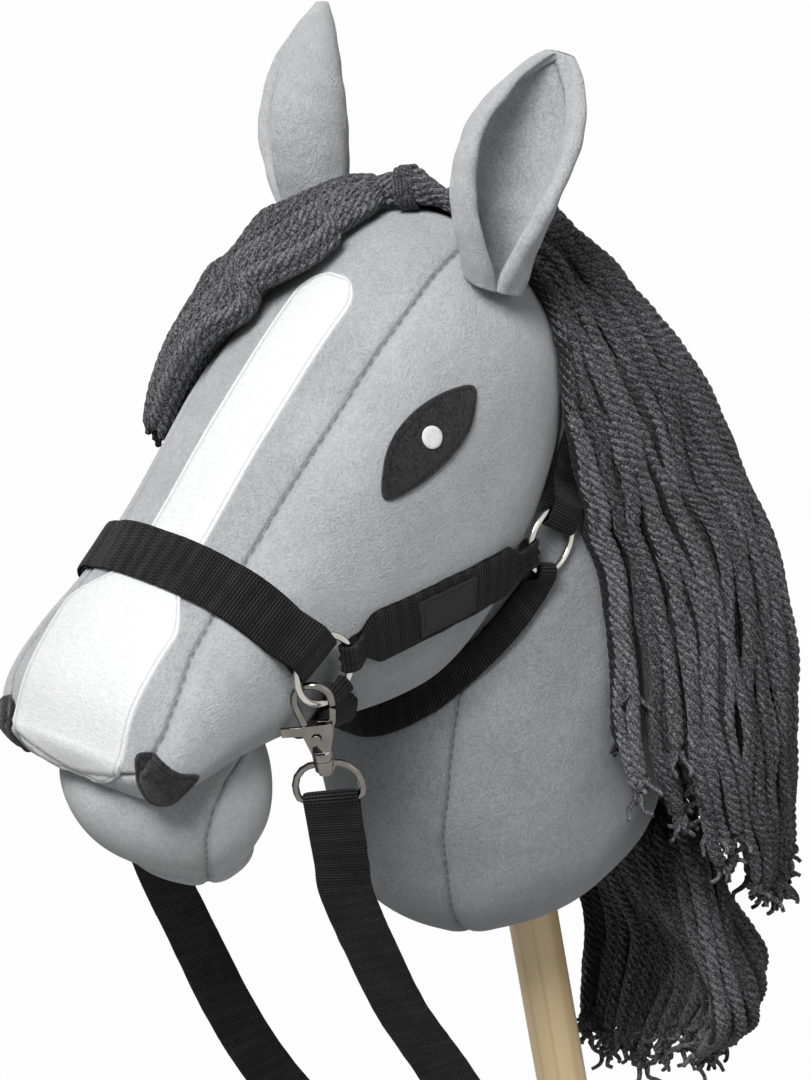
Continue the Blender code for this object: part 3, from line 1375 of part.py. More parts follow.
# Yarn
on_all = Skin([head, neck, crown])
near = yarn_curtain("mane_near", on_all, MANE_SLICES, MANE_GAP, HANGING_GAP, MANE_RISE, parts, yarn)
cut(near, neck_cutter)
far = yarn_curtain("mane_far", on_plush, HANK_SLICES, HANK_GAP, -MANE_DEPTH, HANK_RISE, parts, yarn)
cut(far, neck_cutter)
cut(forelock("forelock", on_head, felt_cutter, parts, yarn), ear_cutter)
poll_tie("poll_tie", parts, yarn)
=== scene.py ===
# %% [markdown]
# # Hobby horse
# The toy is a stuffed plush horse head on a round pine stick, with a yarn mane, felt eyes, a webbing halter
# and reins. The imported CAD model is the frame: it fixes every size and place. The plush, felt, webbing and
# yarn are built here over its soft solids, and the metal keeps its CAD shapes and gets procedural materials.

# %% Frame
import json
import math

import bmesh
import bpy
import numpy as np
from mathutils import Matrix, Vector
from mathutils.bvhtree import BVHTree

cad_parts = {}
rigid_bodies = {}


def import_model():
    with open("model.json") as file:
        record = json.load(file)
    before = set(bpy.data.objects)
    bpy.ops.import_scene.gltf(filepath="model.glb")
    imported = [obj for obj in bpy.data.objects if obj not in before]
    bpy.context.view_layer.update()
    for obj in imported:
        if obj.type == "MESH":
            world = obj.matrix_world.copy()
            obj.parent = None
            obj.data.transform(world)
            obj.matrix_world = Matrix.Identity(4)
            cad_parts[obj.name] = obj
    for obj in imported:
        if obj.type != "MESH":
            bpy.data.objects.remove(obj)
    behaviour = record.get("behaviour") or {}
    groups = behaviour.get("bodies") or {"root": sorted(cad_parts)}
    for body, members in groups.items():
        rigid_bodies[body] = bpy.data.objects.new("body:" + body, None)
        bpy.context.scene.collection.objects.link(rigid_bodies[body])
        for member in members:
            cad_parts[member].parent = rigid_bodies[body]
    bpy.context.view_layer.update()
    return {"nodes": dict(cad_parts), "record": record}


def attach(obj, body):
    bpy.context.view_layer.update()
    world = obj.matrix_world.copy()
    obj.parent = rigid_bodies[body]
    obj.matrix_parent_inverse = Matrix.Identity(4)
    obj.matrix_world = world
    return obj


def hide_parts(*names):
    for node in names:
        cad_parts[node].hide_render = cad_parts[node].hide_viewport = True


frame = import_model()
MM = 0.001
BASE = 0.681  # world height of the level that the head is measured from
UP = np.array([0.0, 0.0, 1.0])


def placed(points):
    """Points in the scene, from mm to the horse's left, back, and up from BASE."""
    return np.asarray(points, float) * MM + UP * BASE


# %% [markdown]
# ## Camera
# The photograph is 810 x 1080 pixels. The camera looks from the horse's left front, 28 degrees down, and is
# rolled by 10.4 degrees. It is tied to the picture by one pixel that has to see a known point, so the other
# values can be changed without losing the place.

# %% Camera
PHOTO = (810, 1080)
FOCAL = 4660.0  # in pixels of the photograph
DISTANCE = 2.3
AZIMUTH, ELEVATION, ROLL = (math.radians(v) for v in (50.0, 28.0, 10.4))
ANCHOR_PIXEL = (531, 905)


def make_camera():
    """Camera whose anchor pixel sees the point (0, 0, BASE) at the given depth."""
    back = np.array([math.sin(AZIMUTH) * math.cos(ELEVATION), -math.cos(AZIMUTH) * math.cos(ELEVATION), 0.0])
    back[2] = math.sin(ELEVATION)
    right = np.array([math.cos(AZIMUTH), math.sin(AZIMUTH), 0.0])
    up = np.cross(back, right)
    across = right * math.cos(ROLL) - up * math.sin(ROLL)
    rise = right * math.sin(ROLL) + up * math.cos(ROLL)
    x = (ANCHOR_PIXEL[0] - PHOTO[0] / 2) / FOCAL
    y = -(ANCHOR_PIXEL[1] - PHOTO[1] / 2) / FOCAL
    place = UP * BASE + DISTANCE * (back - x * across - y * rise)
    data = bpy.data.cameras.new("camera")
    made = bpy.data.objects.new("camera", data)
    bpy.context.scene.collection.objects.link(made)
    turn = Matrix.Identity(4)
    for column, axis in enumerate((across, rise, back, place)):
        for row in range(3):
            turn[row][column] = axis[row]
    made.matrix_world = turn
    data.sensor_width = 36.0
    data.lens = FOCAL / PHOTO[1] * data.sensor_width
    data.clip_start, data.clip_end = 0.1, 20.0
    bpy.context.scene.camera = made
    return place


EYE = make_camera()
print("camera at", [round(float(v), 3) for v in EYE])

# %% [markdown]
# ## Mesh tools
# Every new surface is a grid of points worked out with numpy. A Builder gathers such grids into one mesh,
# with UVs in metres, so that a pattern keeps its real size, and with named values that the materials read.


# %% Mesh tools
def facing(grid, closed, out=None):
    """Above zero where a grid's quads face outwards: the volume they hold, or their agreement with out."""
    a = grid - grid.mean(axis=(0, 1))
    b, c = (np.roll(a, -1, 1), a) if closed else (a[:, 1:], a[:, :-1])
    face = np.cross(b[:-1] - c[:-1], c[1:] - c[:-1])
    return (face * (c[:-1] if out is None else out[:-1, : face.shape[1]])).sum()


def grid_quads(rows, cols, closed=True):
    """Rows and columns of a grid's cells, and the four points of each cell."""
    r, c = np.meshgrid(np.arange(rows - 1), np.arange(cols if closed else cols - 1), indexing="ij")
    n = (c + 1) % cols
    return r, c, np.stack([r * cols + c, r * cols + n, (r + 1) * cols + n, (r + 1) * cols + c], -1)


class Builder:
    """Collects grids of points, with UVs and named values, and makes one mesh of them."""

    def __init__(self):
        self.points, self.quads, self.tris = [], [], []
        self.quad_uv, self.tri_uv, self.values = [], [], {}
        self.count = 0

    def grid(self, grid, u, v, closed=False, caps=False, out=None, **values):
        """Add a (rows, columns, 3) grid, with its faces turned outwards. u has one more entry than the
        columns where closed. An open grid is turned to the side of out. Caps close both ends with a fan of
        triangles."""
        grid = np.asarray(grid, float)
        rows, cols = grid.shape[:2]
        r, c, quads = grid_quads(rows, cols, closed)
        u, v = np.asarray(u, float), np.asarray(v, float)
        if v.ndim == 1:
            v = np.repeat(v[:, None], len(u), 1)
        corners = ((0, 0), (0, 1), (1, 1), (1, 0))
        uv = np.stack([np.stack([u[c + over], v[r + up, c + over]], -1) for up, over in corners], 2)
        turned_in = facing(grid, closed, out) < 0
        if turned_in:
            quads, uv = quads[..., ::-1], uv[..., ::-1, :]
        self.quads.append(quads.reshape(-1, 4) + self.count)
        self.quad_uv.append(uv.reshape(-1, 2))
        points = [grid.reshape(-1, 3)]
        sizes = rows * cols
        if caps:
            for row, poles in ((0, 1), (rows - 1, -1)):
                pole = sizes
                points.append(grid[row].mean(axis=0)[None])
                ring = np.arange(cols)
                pair = np.stack([np.full(cols, pole), row * cols + (ring + 1) % cols, row * cols + ring], -1)
                self.tris.append(pair[:, :: -poles if turned_in else poles] + self.count)
                self.tri_uv.append(np.tile([[0.0, 0.0]], (3 * cols, 1)) + [0.0, v[row].mean()])
                sizes += 1
        self.points.append(np.concatenate(points))
        for name, value in values.items():
            flat = np.broadcast_to(np.asarray(value, float), (rows, cols)).reshape(-1)
            if caps:
                flat = np.concatenate([flat, [flat[:cols].mean(), flat[-cols:].mean()]])
            self.values.setdefault(name, []).append(flat)
        self.count += sizes
        return self

    def make(self, name, body, slot, material, smooth=180.0, weld=0.0):
        """Turn what was gathered into one object that rides on a body. Edges sharper than smooth stay sharp,
        and points nearer than weld become one."""
        mesh = bpy.data.meshes.new(name)
        quads = np.concatenate(self.quads).tolist()
        tris = np.concatenate(self.tris).tolist() if self.tris else []
        mesh.from_pydata(np.concatenate(self.points).tolist(), [], quads + tris)
        uvs = np.concatenate(self.quad_uv + self.tri_uv)
        layer = mesh.uv_layers.new(name="metres")
        layer.data.foreach_set("uv", uvs.astype(np.float32).ravel())
        for key, parts in self.values.items():
            data = mesh.attributes.new(key, "FLOAT", "POINT")
            data.data.foreach_set("value", np.concatenate(parts).astype(np.float32))
        made = bpy.data.objects.new(name, mesh)
        bpy.context.scene.collection.objects.link(made)
        if weld:
            tidy = bmesh.new()
            tidy.from_mesh(mesh)
            bmesh.ops.remove_doubles(tidy, verts=tidy.verts, dist=weld)
            tidy.to_mesh(mesh)
            tidy.free()
        mesh.shade_smooth()
        if smooth < 180:
            mesh.set_sharp_from_angle(angle=math.radians(smooth))
        mesh.materials.append(material)
        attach(made, body)
        return made


# %% Path tools
def smooth_rows(table, count):
    """Rows of a table read again from a Catmull-Rom curve through them, evenly spaced in row number."""
    table = np.asarray(table, float)
    last = len(table) - 1
    padded = np.vstack([2 * table[0] - table[1], table, 2 * table[-1] - table[-2]])
    places = np.linspace(0, last, count)
    cell = np.minimum(places.astype(int), last - 1)
    t = (places - cell)[:, None]
    a, b, c, d = (padded[cell + k] for k in range(4))
    return 0.5 * (2 * b + (c - a) * t + (2 * a - 5 * b + 4 * c - d) * t**2 + (3 * b - a - 3 * c + d) * t**3)


def run_length(path):
    """Distance along a path to each of its points."""
    step = np.linalg.norm(np.diff(path, axis=0), axis=1)
    return np.concatenate([[0.0], np.cumsum(step)])


def resample(path, places):
    """Points of a path at given distances along it."""
    run = run_length(path)
    return np.stack([np.interp(places, run, path[:, k]) for k in range(path.shape[1])], -1)


def unit(v):
    """Vectors scaled to length one."""
    v = np.asarray(v, float)
    return v / np.maximum(np.linalg.norm(v, axis=-1, keepdims=True), 1e-12)


def wave(places, scale, seed, octaves=3):
    """Smooth seeded noise between about -1 and 1 along a line of places in metres."""
    rng = np.random.default_rng(seed)
    total = np.zeros_like(np.asarray(places, float))
    for k in range(octaves):
        turn = rng.uniform(0, 2 * math.pi)
        total += np.sin(places / scale * (1.7**k) * 2 * math.pi * rng.uniform(0.8, 1.2) + turn) / 1.6**k
    return total / 1.9


def tube_grid(path, radius, sides):
    """Rings round a path, with a frame that turns as little as it can: p + r (cos t side + sin t rise)."""
    path = np.asarray(path, float)
    ahead = unit(np.gradient(path, axis=0))
    side = np.zeros_like(path)
    side[0] = unit(np.cross(ahead[0], UP if abs(ahead[0][2]) < 0.9 else [1.0, 0, 0]))
    for k in range(1, len(path)):
        side[k] = unit(side[k - 1] - ahead[k] * (side[k - 1] @ ahead[k]))
    rise = np.cross(side, ahead)
    turn = np.linspace(0, 2 * math.pi, sides, endpoint=False)
    radius = np.broadcast_to(np.asarray(radius, float), (len(path),))[:, None, None]
    ring = np.cos(turn)[None, :, None] * side[:, None] + np.sin(turn)[None, :, None] * rise[:, None]
    return path[:, None] + ring * radius


print("mesh tools ready")

# %% [markdown]
# ## Materials
# Every material is procedural. Patterns follow object coordinates or UVs, both in metres, so a hair or a
# thread has the same size on every piece. An effect that several materials use is a node group: it is built
# once, it puts out masks and a normal, and each material mixes its own colours with the masks.


# %% Node tools
class Nodes:
    """Short calls for the nodes of one tree."""

    def __init__(self, tree):
        self.tree = tree

    def link(self, a, b):
        """Join an output to an input, or set the input where a is a number, a vector or a colour."""
        if isinstance(a, bpy.types.NodeSocket):
            self.tree.links.new(a, b)
        else:
            b.default_value = a

    def node(self, kind, inputs=(), **settings):
        """A node with its own settings, and with an output or a value for each of the given inputs."""
        made = self.tree.nodes.new(kind)
        for key, value in settings.items():
            setattr(made, key, value)
        for key, value in dict(inputs).items():
            self.link(value, made.inputs[key])
        return made

    def math(self, operation, a, b=0.0, c=0.0):
        """One math node."""
        return self.node("ShaderNodeMath", enumerate((a, b, c)), operation=operation).outputs[0]

    def objects(self, stretch=(1, 1, 1)):
        """Object coordinates in metres, multiplied by stretch."""
        place = self.node("ShaderNodeTexCoord").outputs["Object"]
        return self.node("ShaderNodeMapping", {"Vector": place, "Scale": stretch}).outputs[0]

    def noise(self, place, scale, detail=3.0, roughness=0.6):
        """Noise between 0 and 1, with scale lumps in a metre."""
        inputs = {"Vector": place, "Scale": scale, "Detail": detail, "Roughness": roughness}
        return self.node("ShaderNodeTexNoise", inputs).outputs[0]

    def value(self, name):
        """A named value of the mesh's points."""
        return self.node("ShaderNodeAttribute", attribute_name=name).outputs["Fac"]

    def uv(self):
        """The two UV values in metres."""
        place = self.node("ShaderNodeUVMap", uv_map="metres").outputs[0]
        return self.node("ShaderNodeSeparateXYZ", {0: place}).outputs[:2]

    def stripes(self, place, pitch):
        """A wave along place that repeats at each pitch: sin(2 pi place / pitch)."""
        return self.math("SINE", self.math("MULTIPLY", place, 2 * math.pi / pitch))

    def ramp(self, value, low, high, to_low=0.0, to_high=1.0):
        """A value mapped from one range to another by a smooth step, and held at its ends."""
        inputs = {"Value": value, "From Min": low, "From Max": high, "To Min": to_low, "To Max": to_high}
        return self.node("ShaderNodeMapRange", inputs, interpolation_type="SMOOTHSTEP").outputs[0]

    def mix(self, share, a, b):
        """Two colours mixed: a where share is 0, b where it is 1."""
        a, b = (v if isinstance(v, bpy.types.NodeSocket) else (*v, 1.0) for v in (a, b))
        made = self.node("ShaderNodeMix", {"Factor": share, "A": a, "B": b}, data_type="RGBA")
        return made.outputs["Result"]

    def bump(self, height, distance, strength=1.0, below=None):
        """A bump normal, over the normal below where one is given."""
        inputs = {"Height": height, "Distance": distance, "Strength": strength}
        if below is not None:
            inputs["Normal"] = below
        return self.node("ShaderNodeBump", inputs).outputs[0]


class Effect(Nodes):
    """A node group with named inputs and outputs, each with its kind of socket. Its nodes read given."""

    def __init__(self, name, inputs, outputs):
        super().__init__(bpy.data.node_groups.new(name, "ShaderNodeTree"))
        for way, sockets in (("INPUT", inputs), ("OUTPUT", outputs)):
            for key, kind in sockets.items():
                self.tree.interface.new_socket(key, in_out=way, socket_type="NodeSocket" + kind)
        self.given = self.node("NodeGroupInput").outputs
        self.results = self.node("NodeGroupOutput").inputs

    def put_out(self, **results):
        """Connect the results to the group's outputs."""
        for key, value in results.items():
            self.link(value, self.results[key])
        return self.tree


class Shader(Nodes):
    """A material with one Principled shader."""

    def __init__(self, name, colour, roughness=1.0, metallic=0.0, **inputs):
        self.material = bpy.data.materials.new(name)
        self.material.use_nodes = True
        super().__init__(self.material.node_tree)
        self.principled = self.tree.nodes["Principled BSDF"]
        self.principled.inputs["Base Color"].default_value = (*colour, 1.0)
        self.principled.inputs["Roughness"].default_value = roughness
        self.principled.inputs["Metallic"].default_value = metallic
        for key, value in inputs.items():
            self.principled.inputs[key.replace("_", " ")].default_value = value
        self.material.diffuse_color = (*colour, 1.0)

    def effect(self, group, **values):
        """A shared effect placed with this material's own values. Gives the group's outputs."""
        return self.node("ShaderNodeGroup", values, node_tree=group).outputs

    def finish(self, colour, normal, roughness=None):
        """Connect the results to the Principled shader."""
        for value, name in ((colour, "Base Color"), (normal, "Normal"), (roughness, "Roughness")):
            if value is not None:
                self.link(value, self.principled.inputs[name])
        return self.material


def darker(colour, shares):
    """A colour times one share, or times one share for each of its three values."""
    return [v * t for v, t in zip(colour, np.broadcast_to(shares, 3).tolist())]


print("node tools ready")

# %% [markdown]
# ## Plush, felt and metal
# Plush is a short pile that looks speckled, because each hair is light at its tip and dark at its root.
# Particle hair would need far too many, so fine noise stretched along the nap stands for the hairs. Felt is
# a mat of fibres in all directions, and plated metal has faint handling marks. Each effect is a group that
# its materials share.

# %% Shared effects
STITCH_LENGTH = 0.0052  # along a sewn line of the plush


def pile_effect():
    """Share is the mask from dark to light hairs: the smooth step of the mean of two fine noises, plus 0.2
    of soft patches where the pile lies another way, plus 0.15 of clumps. Tips marks the lightest hairs. The
    value seam is the signed distance from the nearest sewn line: Panel is 1 where it is positive, on the
    second panel, Line marks the sunk stitches, and Crease the shade beside them."""
    masks = ("Share", "Tips", "Panel", "Line", "Crease")
    s = Effect("plush pile", {"Nap": "Vector"}, {**dict.fromkeys(masks, "Float"), "Normal": "Vector"})
    nap = s.given["Nap"]
    fine = s.noise(s.objects(nap), 1900.0, 2.0, 0.7)
    grain = s.noise(s.objects(nap), 800.0, 3.0, 0.7)
    clumps = s.noise(s.objects(nap), 260.0, 3.0, 0.65)
    patches = s.noise(s.objects(), 26.0, 3.0, 0.6)
    tone = s.math("ADD", s.math("MULTIPLY", fine, 0.5), s.math("MULTIPLY", grain, 0.5))
    share = s.math("ADD", s.ramp(tone, 0.36, 0.64, 0.0, 0.65), s.ramp(patches, 0.34, 0.7, 0.0, 0.2))
    share = s.math("ADD", share, s.ramp(clumps, 0.34, 0.66, 0.0, 0.15))
    coarse = s.math("ADD", grain, s.math("MULTIPLY", clumps, 0.2))
    height = s.math("ADD", s.math("MULTIPLY", fine, 0.8), coarse)
    away = s.value("seam")
    reach = s.math("ABSOLUTE", away)
    stitch = s.ramp(s.stripes(s.uv()[1], STITCH_LENGTH), -0.5, 0.3, 0.22, 0.62)
    normal = s.bump(height, 0.0013, 0.75)
    normal = s.bump(patches, 0.005, 0.45, normal)
    return s.put_out(
        Share=share,
        Tips=s.ramp(tone, 0.60, 0.72, 0.0, 0.35),
        Panel=s.ramp(away, -0.0006, 0.0006),
        Line=s.math("MULTIPLY", s.ramp(reach, 0.0002, 0.0011, 1.0, 0.0), stitch),
        Crease=s.ramp(reach, 0.0, 0.0045, 0.16, 0.0),
        Normal=s.bump(s.ramp(reach, 0.0, 0.0022), 0.0012, 0.8, normal),
    )


def fibre_effect():
    """Share is the mask from dark to light fibres: the sum of three noises, each stretched along its own
    axis. Line marks the stitches, where the value seam is 0: their thread, and a painted shade in the groove
    that they press in. Depth is the strength of the bump."""
    s = Effect("felt fibres", {"Depth": "Float"}, {"Share": "Float", "Line": "Float", "Normal": "Vector"})
    ways = (((1, 0.35, 1), 900.0), ((0.35, 1, 1), 800.0), ((1, 1, 0.35), 700.0))
    mats = [s.noise(s.objects(stretch), scale, 3.0, 0.7) for stretch, scale in ways]
    tone = s.math("ADD", mats[0], s.math("ADD", mats[1], mats[2]))
    reach = s.math("ABSOLUTE", s.value("seam"))
    return s.put_out(
        Share=s.ramp(tone, 1.2, 1.85),
        Line=s.ramp(reach, 0.0, 0.0009, 0.45, 0.0),
        Normal=s.bump(tone, 0.0008, s.given["Depth"]),
    )


def plating_effect():
    """Cloud is a soft mask for the tint. Fine marks raise the normal a little, and change the roughness from
    0.7 to 1.6 times the given one."""
    outputs = {"Cloud": "Float", "Normal": "Vector", "Roughness": "Float"}
    s = Effect("plated metal", {"Roughness": "Float"}, outputs)
    marks = s.noise(s.objects(), 700.0, 4.0, 0.6)
    smooth, rough = (s.math("MULTIPLY", s.given["Roughness"], times) for times in (0.7, 1.6))
    return s.put_out(
        Cloud=s.ramp(s.noise(s.objects(), 120.0, 2.0, 0.5), 0.3, 0.75),
        Normal=s.bump(marks, 0.00006, 0.35),
        Roughness=s.ramp(marks, 0.3, 0.8, smooth, rough),
    )


PILE, FIBRES, PLATING = pile_effect(), fibre_effect(), plating_effect()
print("shared effects:", [group.name for group in bpy.data.node_groups])


# %% Plush, felt and metal
def plush_material(name, light, dark, nap):
    """Short pile from dark to light, with brighter tips, a shaded second panel and darker sewn lines."""
    s = Shader(name, light, Sheen_Weight=0.45, Sheen_Roughness=0.4, Specular_IOR_Level=0.1)
    pile = s.effect(PILE, Nap=nap)
    second = s.mix(pile["Share"], darker(dark, (0.80, 0.81, 0.81)), darker(light, (0.95, 0.965, 0.96)))
    colour = s.mix(pile["Share"], dark, light)
    colour = s.mix(pile["Tips"], colour, darker(light, 1.35))
    colour = s.mix(pile["Panel"], colour, second)
    colour = s.mix(pile["Line"], colour, darker(dark, 0.22))
    # painted shade in the crease beside each sewn line
    colour = s.mix(pile["Crease"], colour, darker(dark, 0.4))
    return s.finish(colour, pile["Normal"])


def felt_material(name, light, dark, depth):
    """Matted fibres from dark to light, darker along the stitches: their thread, and a painted shade in
    the groove that they press in.
    """
    s = Shader(name, light, Sheen_Weight=0.25, Sheen_Roughness=0.5, Specular_IOR_Level=0.15)
    felt = s.effect(FIBRES, Depth=depth)
    colour = s.mix(felt["Share"], dark, light)
    # thread of the stitches, and painted shade in the groove they press in
    colour = s.mix(felt["Line"], colour, darker(dark, 0.45))
    return s.finish(colour, felt["Normal"])


def metal_material(name, colour, roughness):
    """Plated metal with a slightly uneven tint."""
    s = Shader(name, colour, roughness, 1.0)
    plate = s.effect(PLATING, Roughness=roughness)
    tinted = s.mix(plate["Cloud"], darker(colour, 0.8), colour)
    return s.finish(tinted, plate["Normal"], plate["Roughness"])


PLUSH = plush_material("plush_head", (0.55, 0.56, 0.57), (0.335, 0.345, 0.355), (1.0, 0.75, 1.0))
# The neck's and the jaw's plush are the head's grey plush in other shades: the neck's is darker, a painted
# shade, and the jaw's is lighter, a painted light.
PLUSH_NECK_PAINTED_SHADE = plush_material("plush_neck_painted_shade", (0.42, 0.43, 0.44), (0.235, 0.245, 0.255), (1.0, 1.0, 0.7))
PLUSH_JAW_PAINTED_LIGHT = plush_material("plush_jaw_painted_light", (0.64, 0.65, 0.66), (0.44, 0.45, 0.46), (1.0, 1.0, 0.7))
PLUSH_EAR = plush_material("plush_ear", (0.55, 0.56, 0.57), (0.34, 0.35, 0.36), (1.0, 1.0, 0.6))
WHITE_FELT = felt_material("white_felt", (0.76, 0.76, 0.765), (0.66, 0.665, 0.67), 0.45)
BLACK_FELT = felt_material("black_felt", (0.030, 0.030, 0.032), (0.004, 0.004, 0.005), 0.9)
# The hooks' colour is dark partly for their plating and partly as a painted dark reflection, since reflected
# rays see a white world.
CHROME = metal_material("dark_nickel_painted_reflection", (0.22, 0.205, 0.19), 0.13)
RING_METAL = metal_material("nickel", (0.62, 0.60, 0.56), 0.16)
print("plush, felt and metal:", len(bpy.data.materials), "materials")

# %% [markdown]
# ## Webbing, yarn, patch and pine
# The webbing's ribs and twill are too fine for geometry, so they are sine waves of its UVs with a bump. The
# yarn's ridges are real, and the material adds dark and light fibres in specks. The patch is bare, with a
# sunk border, and the pine shows straight grain along the stick.

# %% Webbing, yarn, patch and pine
RIB_PITCH, TWILL_PITCH, TWILL_ACROSS = 0.0015, 0.00125, 0.0017
PLIES = 4  # of a strand of yarn
LABEL_LENGTH, LABEL_HEIGHT, LABEL_BORDER = 0.034, 0.0185, 0.0019


def webbing_material(name):
    """Ribbed webbing. U runs across the strap and V along it, both in metres. The height is half a rib,
    sin(2 pi v / rib), and half a twill, sin(2 pi v / twill + 1.3 sin(2 pi u / across)). The colour is
    lighter where the height is high: a painted highlight on the tops and painted shade between them."""
    s = Shader(
        name, (0.008, 0.008, 0.009), 0.75, Sheen_Weight=0.06, Sheen_Roughness=0.4, Specular_IOR_Level=0.1
    )
    u, v = s.uv()
    shift = s.math("MULTIPLY", s.stripes(u, TWILL_ACROSS), 1.3)
    twill = s.math("SINE", s.math("ADD", s.math("MULTIPLY", v, 2 * math.pi / TWILL_PITCH), shift))
    height = s.math("ADD", s.math("MULTIPLY", s.stripes(v, RIB_PITCH), 0.5), s.math("MULTIPLY", twill, 0.5))
    fuzz = s.noise(s.objects(), 2200.0, 2.0, 0.7)
    patchy_highlight = s.noise(s.objects(), 60.0, 3.0, 0.6)
    # painted highlight on the rib and twill tops and painted shade between them, dimmed in patches and by the
    # fuzz
    share = s.math("MULTIPLY", s.ramp(height, -0.3, 1.0), s.ramp(patchy_highlight, 0.3, 0.75, 0.45, 1.0))
    share = s.math("MULTIPLY", share, s.ramp(fuzz, 0.3, 0.7, 0.5, 1.0))
    colour = s.mix(share, (0.0012, 0.0012, 0.0014), (0.070, 0.070, 0.074))
    normal = s.bump(height, 0.0004, 0.75)
    return s.finish(colour, s.bump(fuzz, 0.0003, 0.4, normal))


def yarn_material(name, light, dark):
    """Plied, heathered yarn: dark and light fibres in specks, and soft plies with ridges |sin(plies pi u)|
    and painted shade in the grooves between them. U runs once round a strand, turning with its plies, and V
    along it in metres. The value tone differs by strand at random, and a low tone paints shade on deeper
    strands."""
    s = Shader(name, light, Sheen_Weight=0.12, Sheen_Roughness=0.5, Specular_IOR_Level=0.05)
    u, v = s.uv()
    ridge = s.math("ABSOLUTE", s.math("SINE", s.math("MULTIPLY", u, PLIES * math.pi)))
    place = {0: s.math("MULTIPLY", u, 0.0245), 1: s.math("MULTIPLY", v, 0.45)}
    fibre = s.noise(s.node("ShaderNodeCombineXYZ", place).outputs[0], 1300.0, 3.0, 0.75)
    heather = s.noise(s.objects(), 950.0, 2.0, 0.8)
    clump = s.noise(s.objects(), 230.0, 2.0, 0.6)
    tone = s.math("ADD", s.value("tone"), s.math("MULTIPLY", s.math("SUBTRACT", clump, 0.5), 1.2))
    both = s.math("ADD", s.math("MULTIPLY", fibre, 0.45), s.math("MULTIPLY", heather, 0.55))
    both = s.math("ADD", both, s.math("MULTIPLY", tone, 0.05))
    colour = s.mix(s.ramp(both, 0.42, 0.62), dark, light)
    # painted shade in the grooves between the plies
    colour = s.mix(s.ramp(ridge, 0.0, 0.6, 0.6, 0.0), colour, darker(dark, 0.6))
    # painted shade on strands with a low tone: deeper layers, inner strands and the cores
    colour = s.mix(s.ramp(s.value("tone"), -1.2, -0.2, 0.75, 0.0), colour, darker(dark, 0.35))
    normal = s.bump(ridge, 0.0014, 0.7)
    return s.finish(colour, s.bump(both, 0.0016, 0.9, normal))


def label_material(name):
    """A smooth dark patch with a sunk border line, darker as painted shade, and a fine grain. Nothing is
    written on it.
    """
    s = Shader(name, (0.016, 0.016, 0.017), 0.6, Specular_IOR_Level=0.2)
    u, v = s.uv()
    across = s.math("MINIMUM", u, s.math("SUBTRACT", LABEL_HEIGHT, u))
    along = s.math("MINIMUM", v, s.math("SUBTRACT", LABEL_LENGTH, v))
    edge = s.math("MINIMUM", across, along)
    sunk = s.ramp(s.math("ABSOLUTE", s.math("SUBTRACT", edge, LABEL_BORDER)), 0.0002, 0.0006)
    grain = s.noise(s.objects(), 1400.0, 3.0, 0.6)
    colour = s.mix(s.ramp(grain, 0.3, 0.7), (0.010, 0.010, 0.011), (0.019, 0.019, 0.020))
    # painted shade in the sunk border line
    colour = s.mix(sunk, (0.007, 0.007, 0.008), colour)
    normal = s.bump(sunk, 0.0005, 0.8)
    return s.finish(colour, s.bump(grain, 0.0001, 0.5, normal), s.ramp(grain, 0.3, 0.7, 0.5, 0.7))


def pine_material(name):
    """Straight pine grain along the stick: sin(620 (x + 0.55 y + drift)), with fine fibres."""
    s = Shader(name, (0.83, 0.64, 0.38), 0.5, Specular_IOR_Level=0.4)
    split = s.node("ShaderNodeSeparateXYZ", {0: s.objects()})
    drift = s.math("MULTIPLY", s.noise(s.objects((1, 1, 0.12)), 9.0, 2.0, 0.5), 0.02)
    across = s.math("ADD", split.outputs[0], s.math("MULTIPLY", split.outputs[1], 0.55))
    bands = s.math("SINE", s.math("MULTIPLY", s.math("ADD", across, drift), 620.0))
    fibre = s.noise(s.objects((1, 1, 0.03)), 900.0, 3.0, 0.6)
    share = s.math("ADD", s.ramp(bands, 0.55, 1.0, 0.0, 0.4), s.math("MULTIPLY", fibre, 0.35))
    colour = s.mix(share, (0.86, 0.68, 0.42), (0.72, 0.48, 0.22))
    return s.finish(colour, s.bump(fibre, 0.0002, 0.4), s.ramp(fibre, 0.3, 0.7, 0.42, 0.6))


WEBBING = webbing_material("black_webbing")
YARN = yarn_material("grey_yarn", (0.27, 0.27, 0.28), (0.018, 0.018, 0.020))
LABEL = label_material("label_patch")
PINE = pine_material("pine")
print("materials made:", len(bpy.data.materials))

# %% [markdown]
# ## Plush
# The head, neck and lower jaw are sewn from panels and stuffed hard, so they are smooth bodies with a crease
# along each seam. They could be sculpted or sewn by a cloth simulation. Rings through the CAD's own section
# tables are used instead, because they stay on the solids. Each point also carries its distance to the
# nearest sewn line, which shapes the crease and is read by the material.

